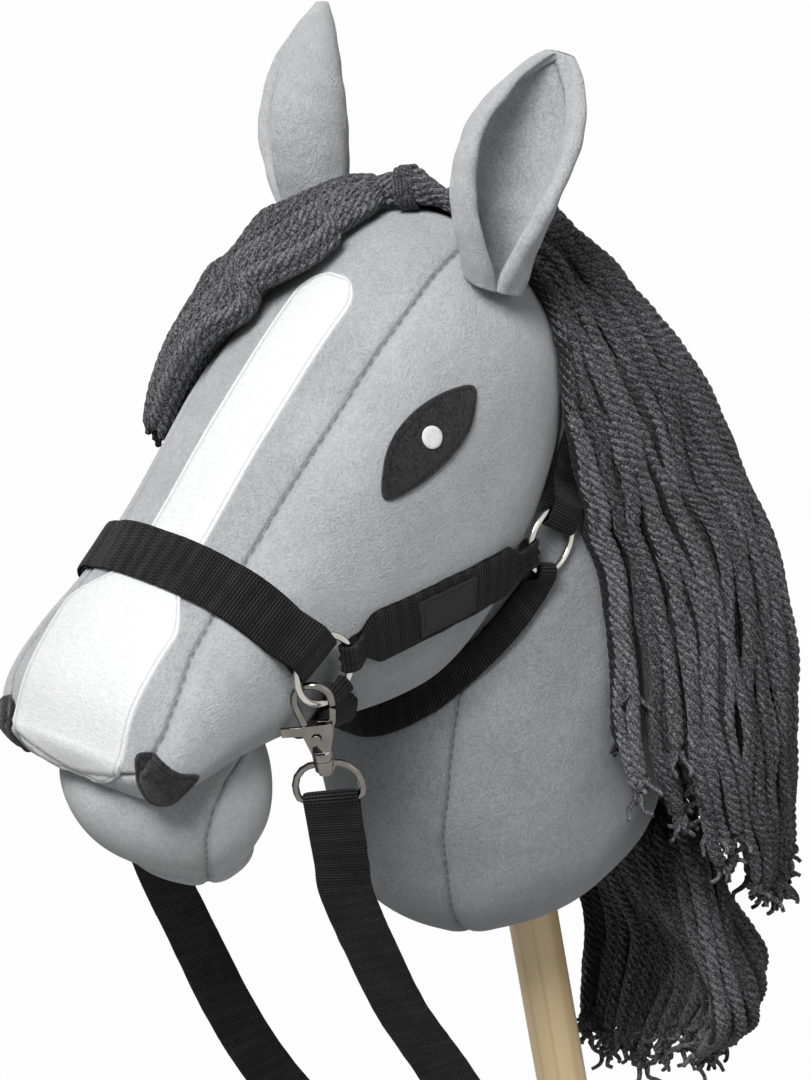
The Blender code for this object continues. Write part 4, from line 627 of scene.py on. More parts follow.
# %% Section tables
HEAD_WIDTH, MUZZLE_WIDTH, JAW_WIDTH = 0.144, 0.124, 0.101
NECK_WIDTH, NECK_DEPTH, NECK_ROUNDING, STICK_FREE = 0.145, 0.176, 0.055, 0.700
HEAD_SECTIONS = [
    (40, 345, 34, 264, 0.56, HEAD_WIDTH, 2.0),
    (26, 364, 20, 238, 0.81, HEAD_WIDTH, 2.1),
    (6, 379, 0, 214, 0.94, HEAD_WIDTH, 2.2),
    (-20, 380, -22, 195, 0.99, HEAD_WIDTH, 2.4),
    (-50, 368, -46, 181, 1.00, HEAD_WIDTH, 2.6),
    (-80, 353, -70, 175, 0.98, HEAD_WIDTH, 2.8),
    (-106, 337, -94, 176, 0.95, HEAD_WIDTH, 2.8),
    (-133, 319, -118, 180, 1.05, MUZZLE_WIDTH, 2.7),
    (-161, 299, -141, 186, 1.02, MUZZLE_WIDTH, 2.6),
    (-188, 281, -166, 194, 1.00, MUZZLE_WIDTH, 2.6),
    (-214, 267, -193, 200, 1.01, MUZZLE_WIDTH, 2.6),
    (-235, 250, -218, 203, 0.99, MUZZLE_WIDTH, 2.7),
    (-247, 230, -237, 204, 0.91, MUZZLE_WIDTH, 2.7),
]
NECK_SECTIONS = [
    (74, -1.06, 0.93, 1.00),
    (110, -1.09, 0.98, 1.01),
    (150, -1.04, 1.06, 1.00),
    (190, -0.88, 1.12, 0.92),
    (230, -0.68, 1.14, 0.82),
    (270, -0.40, 1.07, 0.80),
    (310, -0.10, 0.93, 0.73),
    (340, 0.10, 0.76, 0.58),
]
JAW_SECTIONS = [
    (214, -236, -160, 0.84),
    (197, -245, -156, 0.97),
    (180, -244, -157, 1.00),
    (163, -236, -162, 0.92),
    (148, -222, -171, 0.70),
]
# The gusset's sewn line on the head: share of the way from back to nose, and degrees up from the left side
GUSSET_SEAM = [
    (0.00, 62), (0.15, 61), (0.24, 60), (0.38, 60), (0.45, 59), (0.52, 58), (0.58, 57), (0.67, 56),
    (0.745, 55), (0.815, 50), (0.87, 43), (0.925, 38), (0.975, 40), (1.0, 42),
]
# The neck's and the jaw's sewn lines: height in mm over BASE, and degrees from the left side
NECK_SEAM = [(19, 296), (60, 300), (97, 303), (119, 307), (154, 311), (170, 313), (230, 318), (340, 322)]
JAW_SEAM = [(130, 322), (150, 326), (164, 330), (177, 334), (190, 343), (201, 356), (207, 379), (216, 400)]
print("tables of", len(HEAD_SECTIONS), len(NECK_SECTIONS), len(JAW_SECTIONS), "sections")


# %% Rings
def section_rings(rows, sides):
    """Superellipse rings: |x / half|^square + |height / half height|^square = 1. A row is top y, z, bottom
    y, z, half width and squareness, in metres."""
    turn = np.linspace(0, 2 * math.pi, sides, endpoint=False)
    c, s = np.cos(turn), np.sin(turn)
    rings = []
    for top_y, top_z, low_y, low_z, half, square in rows:
        middle = np.array([0.0, (top_y + low_y) / 2, (top_z + low_z) / 2 + BASE])
        rise = np.array([0.0, top_y - low_y, top_z - low_z])
        height = np.linalg.norm(rise) / 2
        rise = rise / (2 * height)
        across = np.sign(c) * np.abs(c) ** (2 / square) * half
        up = np.sign(s) * np.abs(s) ** (2 / square) * height
        rings.append(middle + across[:, None] * np.array([1.0, 0, 0]) + up[:, None] * rise)
    return rings


def rounded_end(ring, inner, depth, steps=8):
    """Rings that close an end like a quarter ellipse: middle + (ring - middle) cos t + out depth sin t."""
    middle = ring.mean(axis=0)
    out = unit(middle - inner.mean(axis=0))
    turns = np.radians(90 * np.arange(1, steps + 1) / (steps + 0.12))
    return [middle + (ring - middle) * math.cos(t) + out * depth * math.sin(t) for t in turns]


def level_rings(table, sides):
    """Level ellipses from rows of height, front, back and half width in metres."""
    turn = np.linspace(0, 2 * math.pi, sides, endpoint=False)
    rings = []
    for height, front, back, wide in table:
        ring = np.zeros((sides, 3))
        ring[:, 0] = wide * np.cos(turn)
        ring[:, 1] = (front + back) / 2 + (back - front) / 2 * np.sin(turn)
        ring[:, 2] = height + BASE
        rings.append(ring)
    return rings


def seam_value(rings, lines):
    """Signed distance in metres round each ring from the nearest sewn line: positive between the pair of
    lines, whose degrees are given for each ring."""
    rings = np.asarray(rings)
    rows, sides = rings.shape[:2]
    out = np.zeros((rows, sides))
    turn = np.linspace(0, 360, sides, endpoint=False)
    for k in range(rows):
        loop = np.vstack([rings[k], rings[k][:1]])
        run = run_length(loop)
        left, right = lines[k]
        at = np.interp([left % 360, right % 360], np.append(turn, 360), run)
        span = (at[1] - at[0]) % run[-1]
        ahead = (run[:-1] - at[0]) % run[-1]
        inside, outside = np.minimum(ahead, span - ahead), np.minimum(ahead - span, run[-1] - ahead)
        out[k] = np.where(ahead < span, inside, -outside)
    return out


# %% Head, neck and jaw surfaces
def head_surface(rows=190, sides=230):
    """The head's rings and their seam values."""
    table = [(a * MM, b * MM, c * MM, d * MM, s * w / 2, q) for a, b, c, d, s, w, q in HEAD_SECTIONS]
    rings = section_rings(smooth_rows(table, rows), sides)
    shares = np.linspace(0, 1, rows)
    degrees = np.interp(shares, *np.array(GUSSET_SEAM).T)
    back = rounded_end(rings[0], rings[1], 0.010)
    nose = rounded_end(rings[-1], rings[-2], 0.005)
    allrings = back[::-1] + rings + nose
    degrees = np.concatenate([[degrees[0]] * len(back), degrees, [degrees[-1]] * len(nose)])
    return np.array(allrings), seam_value(allrings, [(d, 180 - d) for d in degrees])


def neck_surface(rows=120, sides=200):
    """The neck's rings from its rounded underside up, and their seam values."""
    half = NECK_DEPTH / 2
    table = [(h * MM, f * half, b * half, w * NECK_WIDTH / 2) for h, f, b, w in NECK_SECTIONS]
    rings = level_rings(smooth_rows(table, rows), sides)
    bottom = []
    first = rings[0]
    middle = first.mean(axis=0)
    spokes = first - middle
    reach = np.linalg.norm(spokes, axis=1, keepdims=True)
    steps = 26
    for k in range(1, steps + 1):
        swing = math.radians(90 * k / (steps + 0.2))
        inset = NECK_ROUNDING * (1 - math.cos(swing))
        ring = middle + spokes * (reach - inset) / reach
        ring[:, 2] = first[0, 2] - (first[0, 2] - STICK_FREE) * math.sin(swing)
        bottom.append(ring)
    low = bottom[-1]
    centre = np.array([0.0, 0.0, low[0, 2]])
    for share in (0.75, 0.5, 0.3, 0.22, 0.175):
        ring = centre + (low - centre) * share
        ring[:, 2] = STICK_FREE + 0.0006 * (1 - share)
        bottom.append(ring)
    top = rounded_end(rings[-1], rings[-2], 0.022)
    allrings = bottom[::-1] + rings + top
    heights = (np.array([r[:, 2].mean() for r in allrings]) - BASE) / MM
    degrees = np.interp(heights, *np.array(NECK_SEAM).T)
    return np.array(allrings), seam_value(allrings, [(180 - d + 360, d) for d in degrees])


def jaw_surface(rows=70, sides=160):
    """The lower jaw's rings from the top down, and their seam values."""
    table = [(h * MM, f * MM, b * MM, w * JAW_WIDTH / 2) for h, f, b, w in JAW_SECTIONS]
    rings = level_rings(smooth_rows(table, rows), sides)
    top = rounded_end(rings[0], rings[1], 0.005)
    low = rounded_end(rings[-1], rings[-2], 0.015, 14)
    allrings = top[::-1] + rings + low
    heights = (np.array([r[:, 2].mean() for r in allrings]) - BASE) / MM
    degrees = np.interp(heights, *np.array(JAW_SEAM).T)
    return np.array(allrings), seam_value(allrings, [(540 - d, d) for d in degrees])


# %% Stuffed pieces
LUMP_SIZE = 0.055
CREASE_DEPTH, CREASE_REACH = 0.0012, 0.0020
PUFF_HEIGHT, PUFF_PLACE, PUFF_REACH = 0.0005, 0.007, 0.005
DENT_DEPTH, DENT_REACH = 0.0008, 0.013
HOOK_REST = [(x, -0.166, BASE + 0.205) for x in (0.0695, -0.0695)]  # where the hooks press into the head


def lumps(points, scale, seed):
    """Smooth three-dimensional waves that make stuffing look uneven: the sum of seven seeded sines."""
    rng = np.random.default_rng(seed)
    total = np.zeros(points.shape[:-1])
    for _ in range(7):
        way = unit(rng.normal(size=3)) / (scale * rng.uniform(0.7, 1.5))
        total += np.sin(points @ way * 2 * math.pi + rng.uniform(0, 2 * math.pi))
    return total / 3.5


def grid_normals(grid):
    """Outward normals of a closed grid of rings."""
    across = np.roll(grid, -1, axis=1) - np.roll(grid, 1, axis=1)
    along = np.gradient(grid, axis=0)
    normal = unit(np.cross(across, along))
    out = grid - grid.mean(axis=1, keepdims=True)
    sign = np.sign((normal * out).sum(-1).sum())
    return normal * sign


def stuffed(name, shape, ruler, seam, material):
    """A closed body of plush from rings. Its UVs are the distances round and along the rings of ruler."""
    middle = ruler[len(ruler) // 2]
    round_it = run_length(np.vstack([middle, middle[:1]]))
    body = Builder().grid(shape, round_it, run_length(ruler[:, 0]), closed=True, caps=True, seam=seam)
    return body.make(name, "horse", "grey_plush", material)


def plush_piece(name, surface, material, swell, seed, pressed=()):
    """One stuffed piece as a closed mesh. At the distance s from a sewn line it moves along its normal by
    -crease exp(-(s / reach)^2) + puff exp(-((|s| - place) / reach)^2) + swell * lumps. At each pressed place
    it gives way by dent exp(-(d / reach)^2), with heights halved in d."""
    grid, seam = surface
    normal = grid_normals(grid)
    for spot in pressed:
        away = (grid - np.array(spot)) * np.array([1.0, 1.0, 0.5])
        grid = grid - normal * (DENT_DEPTH * np.exp(-(away**2).sum(-1) / DENT_REACH**2))[..., None]
    crease = -CREASE_DEPTH * np.exp(-((seam / CREASE_REACH) ** 2))
    puff = PUFF_HEIGHT * np.exp(-(((np.abs(seam) - PUFF_PLACE) / PUFF_REACH) ** 2))
    shape = grid + normal * (crease + puff + swell * lumps(grid, LUMP_SIZE, seed))[..., None]
    made = stuffed(name, shape, grid, seam, material)
    print(name, grid.shape[0] * grid.shape[1], "points")
    return made, shape


head, HEAD_GRID = plush_piece("head_plush", head_surface(), PLUSH, 0.0005, 1, HOOK_REST)
neck, NECK_GRID = plush_piece("neck_plush", neck_surface(), PLUSH_NECK_PAINTED_SHADE, 0.0007, 2)
jaw, _ = plush_piece("jaw_plush", jaw_surface(), PLUSH_JAW_PAINTED_LIGHT, 0.0006, 3)
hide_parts("head")
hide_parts("neck")
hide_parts("lower_jaw")


# %% [markdown]
# ## Where things lie on the plush
# A pulled strap bridges hollows, so it follows the convex outline of a slice through the plush. Felt is sewn
# down all over, so it is dropped on the plush along a view, by rays. A shrinkwrap could do the second, but
# not the first.


# %% Skin
def convex_outline(points):
    """Corners of the convex hull of 2D points, counter-clockwise."""
    ordered = sorted(set(map(tuple, points)))
    halves = []
    for run in (ordered, ordered[::-1]):
        chain = []
        for p in run:
            while len(chain) > 1:
                ax, ay = chain[-1][0] - chain[-2][0], chain[-1][1] - chain[-2][1]
                bx, by = p[0] - chain[-2][0], p[1] - chain[-2][1]
                if ax * by - ay * bx > 0:
                    break
                chain.pop()
            chain.append(p)
        halves.append(chain[:-1])
    return np.array(halves[0] + halves[1])


def outline_reach(outline, middle, turn):
    """Distance from middle to a convex outline in the direction turn."""
    way = np.array([math.cos(turn), math.sin(turn)])
    a = outline - middle
    b = np.roll(outline, -1, axis=0) - middle
    ca = a[:, 0] * way[1] - a[:, 1] * way[0]
    cb = b[:, 0] * way[1] - b[:, 1] * way[0]
    side = (ca <= 0) != (cb <= 0)
    share = ca[side] / (ca[side] - cb[side])
    spots = a[side] + share[:, None] * (b[side] - a[side])
    return max((spots @ way).max(), 0.0)


class Skin:
    """The plush surface: slices of ring grids, and ray hits on them."""

    def __init__(self, grids):
        self.grids = grids
        self.trees = []
        self.signs = [1.0 if facing(grid, True) > 0 else -1.0 for grid in grids]
        for grid in grids:
            quads = grid_quads(*grid.shape[:2])[2].reshape(-1, 4)
            self.trees.append(BVHTree.FromPolygons(grid.reshape(-1, 3).tolist(), quads.tolist()))

    def hit(self, start, direction):
        """The first point and normal that a ray meets, the normal facing the start."""
        best = None
        for tree in self.trees:
            spot, normal, _, reach = tree.ray_cast(Vector(start), Vector(direction))
            if spot is not None and (best is None or reach < best[2]):
                best = (np.array(spot), np.array(normal), reach)
        if best is None:
            return None
        normal = best[1] if best[1] @ np.asarray(direction) < 0 else -best[1]
        return best[0], normal

    def near(self, point):
        """The nearest point and the outward normal there."""
        best = None
        for tree, sign in zip(self.trees, self.signs):
            spot, normal, _, reach = tree.find_nearest(Vector(point))
            if best is None or reach < best[2]:
                best = (np.array(spot), np.array(normal) * sign, reach)
        return best[0], best[1]

    def hull(self, origin, along, offset):
        """Convex outline of a slice in a plane that holds the X axis and the direction along."""
        across = np.array([0.0, -along[1], along[0]])
        forward = np.array([0.0, along[0], along[1]])
        base = np.array([0.0, origin[0], origin[1]])
        flat = []
        for grid in self.grids:
            d = (grid - base) @ across - offset
            from_ring_to_ring = (d[:-1], d[1:], grid[:-1], grid[1:])
            round_each_ring = (d, np.roll(d, -1, 1), grid, np.roll(grid, -1, 1))
            for a, b, pa, pb in (from_ring_to_ring, round_each_ring):
                crossing = a * b < 0
                share = a[crossing] / (a[crossing] - b[crossing])
                spots = pa[crossing] + share[:, None] * (pb[crossing] - pa[crossing])
                flat.append(np.stack([spots[:, 0], (spots - base) @ forward], -1))
        return convex_outline(np.concatenate(flat))


ON_HEAD = Skin([HEAD_GRID])
ON_PLUSH = Skin([HEAD_GRID, NECK_GRID])
print("skins ready")

# %% [markdown]
# ## Ears
# Each ear is two leaves of plush sewn together and curled about its long axis. One leaf is computed with
# both of its faces, and the inner face drops past a rolled rim, so the lining reads as a second panel set
# back in it.

# %% Ears
EAR_LENGTH, EAR_HALF_GIRTH, EAR_THICKNESS, EAR_SPACING = 0.108, 0.0435, 0.0075, 0.121
EAR_POSE = {1: (12.0, 24.0, 48.0), -1: (20.0, 24.0, 28.0)}  # splay, lean and turn in degrees, left and right
EAR_SWAY = 0.010
EAR_BASE = (-3, 369)
EAR_SUNK = 0.012  # how far the leaf starts under its base, and behind it
EAR_RIM = 0.0115  # width of the rolled rim
EAR_PLEAT = 0.0010  # height of the folds at its foot
EAR_PLEATS = 19  # their turns over half a girth, in radians
OUTER_FACE, CAP_FACE = -0.03, -0.012  # seam distances that lie on the first panel
EAR_ROWS = [
    (0.0, 0.62, 162), (0.12, 0.80, 150), (0.3, 0.97, 132), (0.5, 1.0, 114), (0.7, 0.86, 100),
    (0.85, 0.58, 86), (0.94, 0.34, 74), (1.0, 0.13, 62),
]


def make_ear(name, side, node, rows=110, cols=71):
    """A leaf of half girth g curled to radius g / curl at each share of its length. The outer face stands
    half the thickness out. The inner face drops to a lining past the rim: depth = half * (1 - 0.55
    smoothstep)."""
    table = smooth_rows(EAR_ROWS, 240)
    shares = np.linspace(0, 1, rows)
    girth = np.interp(shares, table[:, 0], table[:, 1]) * EAR_HALF_GIRTH
    curl = np.radians(np.interp(shares, table[:, 0], table[:, 2]))
    base = np.array([EAR_SPACING / 2, EAR_BASE[0] * MM, EAR_BASE[1] * MM + BASE])
    splay, lean, turned_out = (math.radians(v) for v in EAR_POSE[side])
    up = unit([math.tan(splay), math.tan(lean), 1.0])
    face = np.array([math.sin(turned_out), -math.cos(turned_out), 0.0])
    face = unit(face - up * (face @ up))
    across = np.cross(up, face)
    wide = np.linspace(-1, 1, cols)
    rng = np.random.default_rng(31 if side > 0 else 32)
    pleat = EAR_PLEAT * np.sin(wide * EAR_PLEATS + rng.uniform(0, 6))
    rings, seams = [], []
    for k, s in enumerate(shares):
        radius = girth[k] / curl[k]
        centre = base + up * (s * EAR_LENGTH - EAR_SUNK) - across * (EAR_SWAY * math.sin(s * math.pi))
        centre = centre + face * (radius - EAR_SUNK)
        angles = wide * curl[k]
        out = -face * np.cos(angles)[:, None] + across * np.sin(angles)[:, None]
        middle = centre + out * radius
        half = EAR_THICKNESS / 2 * np.interp(s, [0, 0.85, 1.0], [1.0, 0.95, 0.55])
        away = (1 - np.abs(wide)) * girth[k]
        t = np.clip((away - EAR_RIM + 0.0015) / 0.0035, 0, 1)
        depth = half * (1 + 0.12 * np.exp(-(((away - 0.006) / 0.004) ** 2)) - 0.55 * t * t * (3 - 2 * t))
        depth = depth - 0.0006 * np.exp(-(((away - EAR_RIM) / 0.0012) ** 2))
        fold = (pleat * np.clip(1 - s / 0.35, 0, 1))[:, None]
        outer = middle + out * (half + fold * 0.6)
        inner = middle - out * (depth[:, None] - fold)
        ring, seam = [outer], [np.full(cols, OUTER_FACE)]
        for end, order in ((cols - 1, 1), (0, -1)):
            way = (across * math.cos(angles[end]) + face * math.sin(angles[end])) * np.sign(wide[end])
            swing = np.radians([30, 60, 90, 120, 150][::order])
            cap = middle[end] + half * (out[end] * np.cos(swing)[:, None] + way * np.sin(swing)[:, None])
            ring.append(cap)
            seam.append(np.full(len(cap), CAP_FACE))
            if end:
                ring.append(inner[::-1])
                seam.append((away - EAR_RIM)[::-1])
        rings.append(np.concatenate(ring))
        seams.append(np.concatenate(seam))
    grid = np.array(rings) * np.array([side, 1, 1])
    grid = grid + grid_normals(grid) * (0.0005 * lumps(grid, 0.02, 5))[..., None]
    made = stuffed(name, grid, grid, np.array(seams), PLUSH_EAR)
    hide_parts(node)


make_ear("ear_left_plush", 1, "ear_left")
make_ear("ear_right_plush", -1, "ear_right")
print("ears made")

# %% [markdown]
# ## Felt
# The blaze, eyes and nostrils are cut from felt and sewn down along their edges. Each outline is a smooth
# curve in a plane, its rings of points are dropped on the plush along a view, and the height over the plush
# gives the cut edge and the line of stitches.

# %% Felt tools
FELT_THICKNESS, CLEAR = 0.0015, 0.0004  # CLEAR is the gap left between two pieces
UNDER = -0.0004  # where an edge ends, just under the plush
BLAZE_WIDTH, BLAZE_MUZZLE_WIDTH = 0.035, 0.074
BLAZE_SHIFT, BLAZE_MUZZLE_SHIFT = 0.002, -0.0025
BLAZE_START, BLAZE_PANEL, BLAZE_FLARE = 0.030, 0.108, 0.030  # along the face, in metres
EYE_PLACE, NOSTRIL_PLACE, NOSTRIL_SIDE = (-69, 311), (-242, 221), 54
EYE_OUTLINE = [
    (30, 14), (15, 17), (-2, 15), (-17, 8), (-27, -3), (-31, -15), (-16, -16), (4, -12), (20, -4), (28, 6),
]
NOSTRIL_OUTLINE = [(-11, 12), (-2, 13), (8, 4), (14, -1), (6, -8), (-3, -14), (-10, -12), (-12, 0)]
STITCH_INSET = 0.0022


def closed_curve(table, count):
    """A smooth closed outline through the rows of a table."""
    table = np.asarray(table, float)
    wide = np.vstack([table[-3:], table, table[:3]])
    curve = smooth_rows(wide, (len(wide) - 1) * 12 + 1)[36 : 36 + 12 * len(table)]
    loop = np.vstack([curve, curve[:1]])
    return resample(loop, np.linspace(0, run_length(loop)[-1], count, endpoint=False))


def felt_height(edge, rest, thickness, stitched=True):
    """Height of felt at a distance e from its edge: rest + thickness (1 - 0.7 exp(-e / 0.4 mm)), a rounded
    cut edge, less 0.6 mm exp(-((e - inset) / 0.7 mm)^2), the line pressed in by the stitches."""
    height = rest + thickness * (1 - 0.7 * np.exp(-edge / 0.0004))
    if stitched:
        height = height - 0.0006 * np.exp(-(((edge - STITCH_INSET) / 0.0007) ** 2))
    return height


def drop(spots, view):
    """Ground points and outward normals where rays along view meet the head."""
    found = [ON_HEAD.hit(spot, view) for spot in spots]
    return np.array([f[0] for f in found]), np.array([f[1] for f in found])


def felt_disc(name, node, outline, view, rest, thickness, material, slot, side, rings=16, stitched=True):
    """Rings of points from just under the felt's edge, over it, and in to its middle:
    middle + (outline - middle) share."""
    view = np.asarray(view, float)
    middle = outline.mean(axis=0)
    size = np.linalg.norm(outline - middle, axis=1)
    shares = 1 - np.concatenate([[0, 0], np.linspace(0.012, 0.2, 7), np.linspace(0.28, 0.97, rings)])
    rows, edges = [], []
    for k, share in enumerate(shares):
        spots = middle + (outline - middle) * share
        ground, normal = drop(spots - view * 0.12, view)
        edge = (1 - share) * size * 0.8
        height = felt_height(edge, rest, thickness, stitched) if k else UNDER + 0 * edge
        rows.append(ground + normal * height[:, None])
        edges.append(edge - STITCH_INSET if stitched else edge + 0.02)
    grid = np.array(rows) * np.array([side, 1, 1])
    loop = run_length(np.vstack([outline, outline[:1]]))
    made = Builder().grid(grid, loop, (1 - shares) * 0.02, closed=True, caps=True, seam=np.array(edges))
    made = made.make(name, "horse", slot, material)
    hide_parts(node)


# %% Blaze
def make_blaze(rows=230, cols=37):
    """The white stripe down the face, narrow on the forehead and a rounded panel on the muzzle. Its half
    width is top + (low - top) smoothstep(share), rounded at both ends by quarter ellipses."""
    table = np.array([(a, b) for a, b, *_ in HEAD_SECTIONS]) * MM
    nose = table[-1]
    path = np.vstack([smooth_rows(table[3:], 60), nose + [-0.0035, -0.010], nose + [-0.0015, -0.019]])
    run = run_length(path)
    start, end = BLAZE_START, run[-1]
    half_top, half_low = BLAZE_WIDTH / 2, BLAZE_MUZZLE_WIDTH / 2
    columns = np.sin(np.linspace(-1, 1, cols) * math.pi / 2)
    ends = [np.linspace(low, high, 8, endpoint=False) for low, high in ((0, 0.006), (0.006, 0.016))]
    ends = np.concatenate(ends)
    places = np.concatenate([start + ends, np.linspace(start + 0.016, end - 0.016, rows), end - ends[::-1]])
    grounds, normals, edges = [], [], []
    for place in places:
        share = np.clip((place - end + BLAZE_PANEL) / BLAZE_FLARE, 0, 1)
        share = share * share * (3 - 2 * share)
        half = half_top + (half_low - half_top) * share
        top_round = np.clip((place - start) / half_top, 0.02, 1)
        low_round = np.clip((end - place) / (0.6 * half_low), 0.02, 1)
        half *= math.sqrt(1 - (1 - top_round) ** 2) * math.sqrt(1 - (1 - low_round) ** 2) ** 0.8
        y, z = np.interp(place, run, path[:, 0]), np.interp(place, run, path[:, 1]) + BASE
        if place < end - 0.006:
            ahead = [np.interp(place + s, run, path[:, 0]) for s in (0.004, -0.004)]
            rise = [np.interp(place + s, run, path[:, 1]) for s in (0.004, -0.004)]
            view = unit([0.0, -(rise[0] - rise[1]), ahead[0] - ahead[1]])
        shift = BLAZE_SHIFT + (BLAZE_MUZZLE_SHIFT - BLAZE_SHIFT) * share
        spots = [np.array([shift + c * half, y, z]) - view * 0.06 for c in columns]
        ground, normal = drop(spots, view)
        grounds.append(ground)
        normals.append(normal)
        away = np.minimum((1 - np.abs(columns)) * half, min(place - start, end - place))
        edges.append(away)
    ground, normal, edge = np.array(grounds), np.array(normals), np.array(edges)
    border = np.zeros(edge.shape, bool)
    border[[0, -1]] = border[:, [0, -1]] = True
    height = np.where(border, UNDER, felt_height(edge, CLEAR, FELT_THICKNESS))
    grid = ground + normal * height[..., None]
    made = Builder().grid(grid, columns * half_low, places, seam=edge - STITCH_INSET, out=normal)
    made = made.make("blaze_felt", "horse", "white_felt", WHITE_FELT)
    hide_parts("blaze")
    print("blaze", round(float(end - start), 3), "m long")


make_blaze()


# %% Eyes and nostrils
def place_on_side(place, spot):
    """A point on the middle plane, at mm back and up from a place."""
    return np.array([0.0, (place[0] + spot[0]) * MM, (place[1] + spot[1]) * MM + BASE])


INWARDS, NOSTRIL_VIEW = (-1.0, 0.0, 0.0), (-0.62, 0.785, 0.0)
NOSTRIL_ASIDE = np.array([0.785, 0.62, 0.0])
DOT_RADIUS, DOT_RISE, DOT_THICKNESS = 5, 2, 0.0008
eye = np.array([place_on_side(EYE_PLACE, spot) for spot in closed_curve(EYE_OUTLINE, 96)])
turns = np.linspace(0, 2 * math.pi, 48, endpoint=False)
around = [(DOT_RADIUS * math.cos(t), DOT_RISE + DOT_RADIUS * math.sin(t)) for t in turns]
dot = np.array([place_on_side(EYE_PLACE, spot) for spot in around])
curve = closed_curve(NOSTRIL_OUTLINE, 72) * MM
nostril = placed([NOSTRIL_SIDE, *NOSTRIL_PLACE]) + NOSTRIL_ASIDE * curve[:, :1] + UP * curve[:, 1:]
for side, word in ((1, "left"), (-1, "right")):
    felt_disc(
        "eye_felt_" + word, "eye_" + word, eye, INWARDS, CLEAR, FELT_THICKNESS, BLACK_FELT, "black_felt", side
    )
    felt_disc(
        "eye_dot_" + word, "eye_highlight_" + word, dot, INWARDS, 2 * CLEAR + FELT_THICKNESS, DOT_THICKNESS,
        WHITE_FELT, "white_felt", side, 8, False,
    )
    felt_disc(
        "nostril_felt_" + word, "nostril_" + word, nostril, NOSTRIL_VIEW, CLEAR, FELT_THICKNESS, BLACK_FELT,
        "black_felt", side,
    )
print("felt made")

# %% [markdown]
# ## Halter
# The halter is flat webbing pulled over the plush and sewn back round four rings. A curve with a flat bevel
# would stand off a curved cheek, so each strap follows three parallel slices of the plush. A strap is a row
# of sections, and a section is a lower edge, a middle, an upper edge and a normal.

# %% Halter tools
STRAP_WIDTH, STRAP_THICKNESS, STRAP_REST, GATHERED_WIDTH = 0.025, 0.0016, 0.0007, 0.013
FOLD_LENGTH, GATHER_LENGTH = 0.030, 0.008
RING_WIRE, RING_RADIUS = 0.0034, 0.0157
NOSEBAND_ANGLE, CHIN_ANGLE, CROWN_ANGLE, THROAT_LOOP_ANGLE, THROAT_ANGLE = 115.5, -70.0, 47.0, -118.0, -147.0
HOOK_ANGLE, HOOK_LINK_RADIUS = -160.0, 0.0102
JOINTS = {joint["name"]: joint for joint in frame["record"]["behaviour"]["joints"]}


class RingPlace:
    """A halter ring's middle and normal from its joint, with directions in its own plane."""

    def __init__(self, word):
        joint = JOINTS[word + "_turn"]
        self.middle = np.array(joint["pos_m"], float)
        self.normal = unit(joint["axis"])
        self.up = unit(UP - self.normal * self.normal[2])
        self.back = np.cross(self.up, self.normal)
        if self.back[1] < 0:
            self.back = -self.back

    def way(self, degrees):
        """Unit vector in the ring's plane."""
        turn = math.radians(degrees)
        return self.back * math.cos(turn) + self.up * math.sin(turn)


def strap_sections(skin, origin, along, middle, turns, lift, width=STRAP_WIDTH):
    """Sections of a strap on the convex outlines of three parallel slices, lifted along its normal."""
    forward = np.array([0.0, along[0], along[1]])
    across = np.array([0.0, -along[1], along[0]])
    base = np.array([0.0, origin[0], origin[1]])
    columns = []
    for offset in (-width / 2, 0.0, width / 2):
        outline = skin.hull(origin, along, offset)
        line = []
        for turn in turns:
            reach = outline_reach(outline, np.array([0.0, middle]), turn)
            line.append(
                base + np.array([math.cos(turn) * reach, 0, 0])
                + forward * (math.sin(turn) * reach + middle) + across * offset
            )
        columns.append(np.array(line))
    low, mid, high = columns
    normal = np.cross(np.gradient(mid, axis=0), high - low)
    outward = mid - (base + forward * middle)
    normal = unit(normal * np.sign((normal * outward).sum(-1))[:, None])
    rise = np.asarray(lift)[:, None] * normal
    return np.stack([low + rise, mid + rise, high + rise, normal], axis=1)


def ring_loop(ring, degrees, half_width):
    """Sections of a strap end round a ring's wire, from under the ring and round the wire to over it:
    middle + way (chord + bend cos t) + normal bend sin t."""
    way = ring.way(degrees)
    across = np.cross(ring.normal, way) * half_width
    wire = RING_WIRE / 2 + CLEAR
    bend = wire + STRAP_THICKNESS / 2
    chord = wire + math.sqrt((RING_RADIUS - RING_WIRE / 2 - CLEAR) ** 2 - half_width**2)
    outer = RING_RADIUS + RING_WIRE / 2 + CLEAR

    def section(reach, height, tilt):
        mid = ring.middle + way * reach + ring.normal * height
        return [mid - across, mid, mid + across, way * math.cos(tilt) + ring.normal * math.sin(tilt)]

    sections = [section(outer, -bend, -math.pi / 2)]
    for k in range(15):
        turn = -math.pi / 2 - math.pi * k / 14
        sections.append(section(chord + bend * math.cos(turn), bend * math.sin(turn), turn))
    sections.append(section(outer, bend, math.pi / 2))
    return np.array(sections)


def gather(sections, shares):
    """Narrow sections towards their middles."""
    out = sections.copy()
    share = np.asarray(shares)[:, None]
    out[:, 0] = out[:, 1] + (out[:, 0] - out[:, 1]) * share
    out[:, 2] = out[:, 1] + (out[:, 2] - out[:, 1]) * share
    return out


def turned(sections):
    """The same run backwards with its other face up."""
    return sections[::-1] * np.array([1, 1, 1, -1])[None, :, None]


def mirror_run(sections):
    """The same run on the other side, in reverse order."""
    return sections[::-1] * np.array([-1.0, 1, 1])


def level(sections, up):
    """Swap the edges of the sections whose upper edge points the other way."""
    flip = ((sections[:, 2] - sections[:, 0]) @ up) < 0
    out = sections.copy()
    out[flip, 0], out[flip, 2] = sections[flip, 2], sections[flip, 0]
    return out


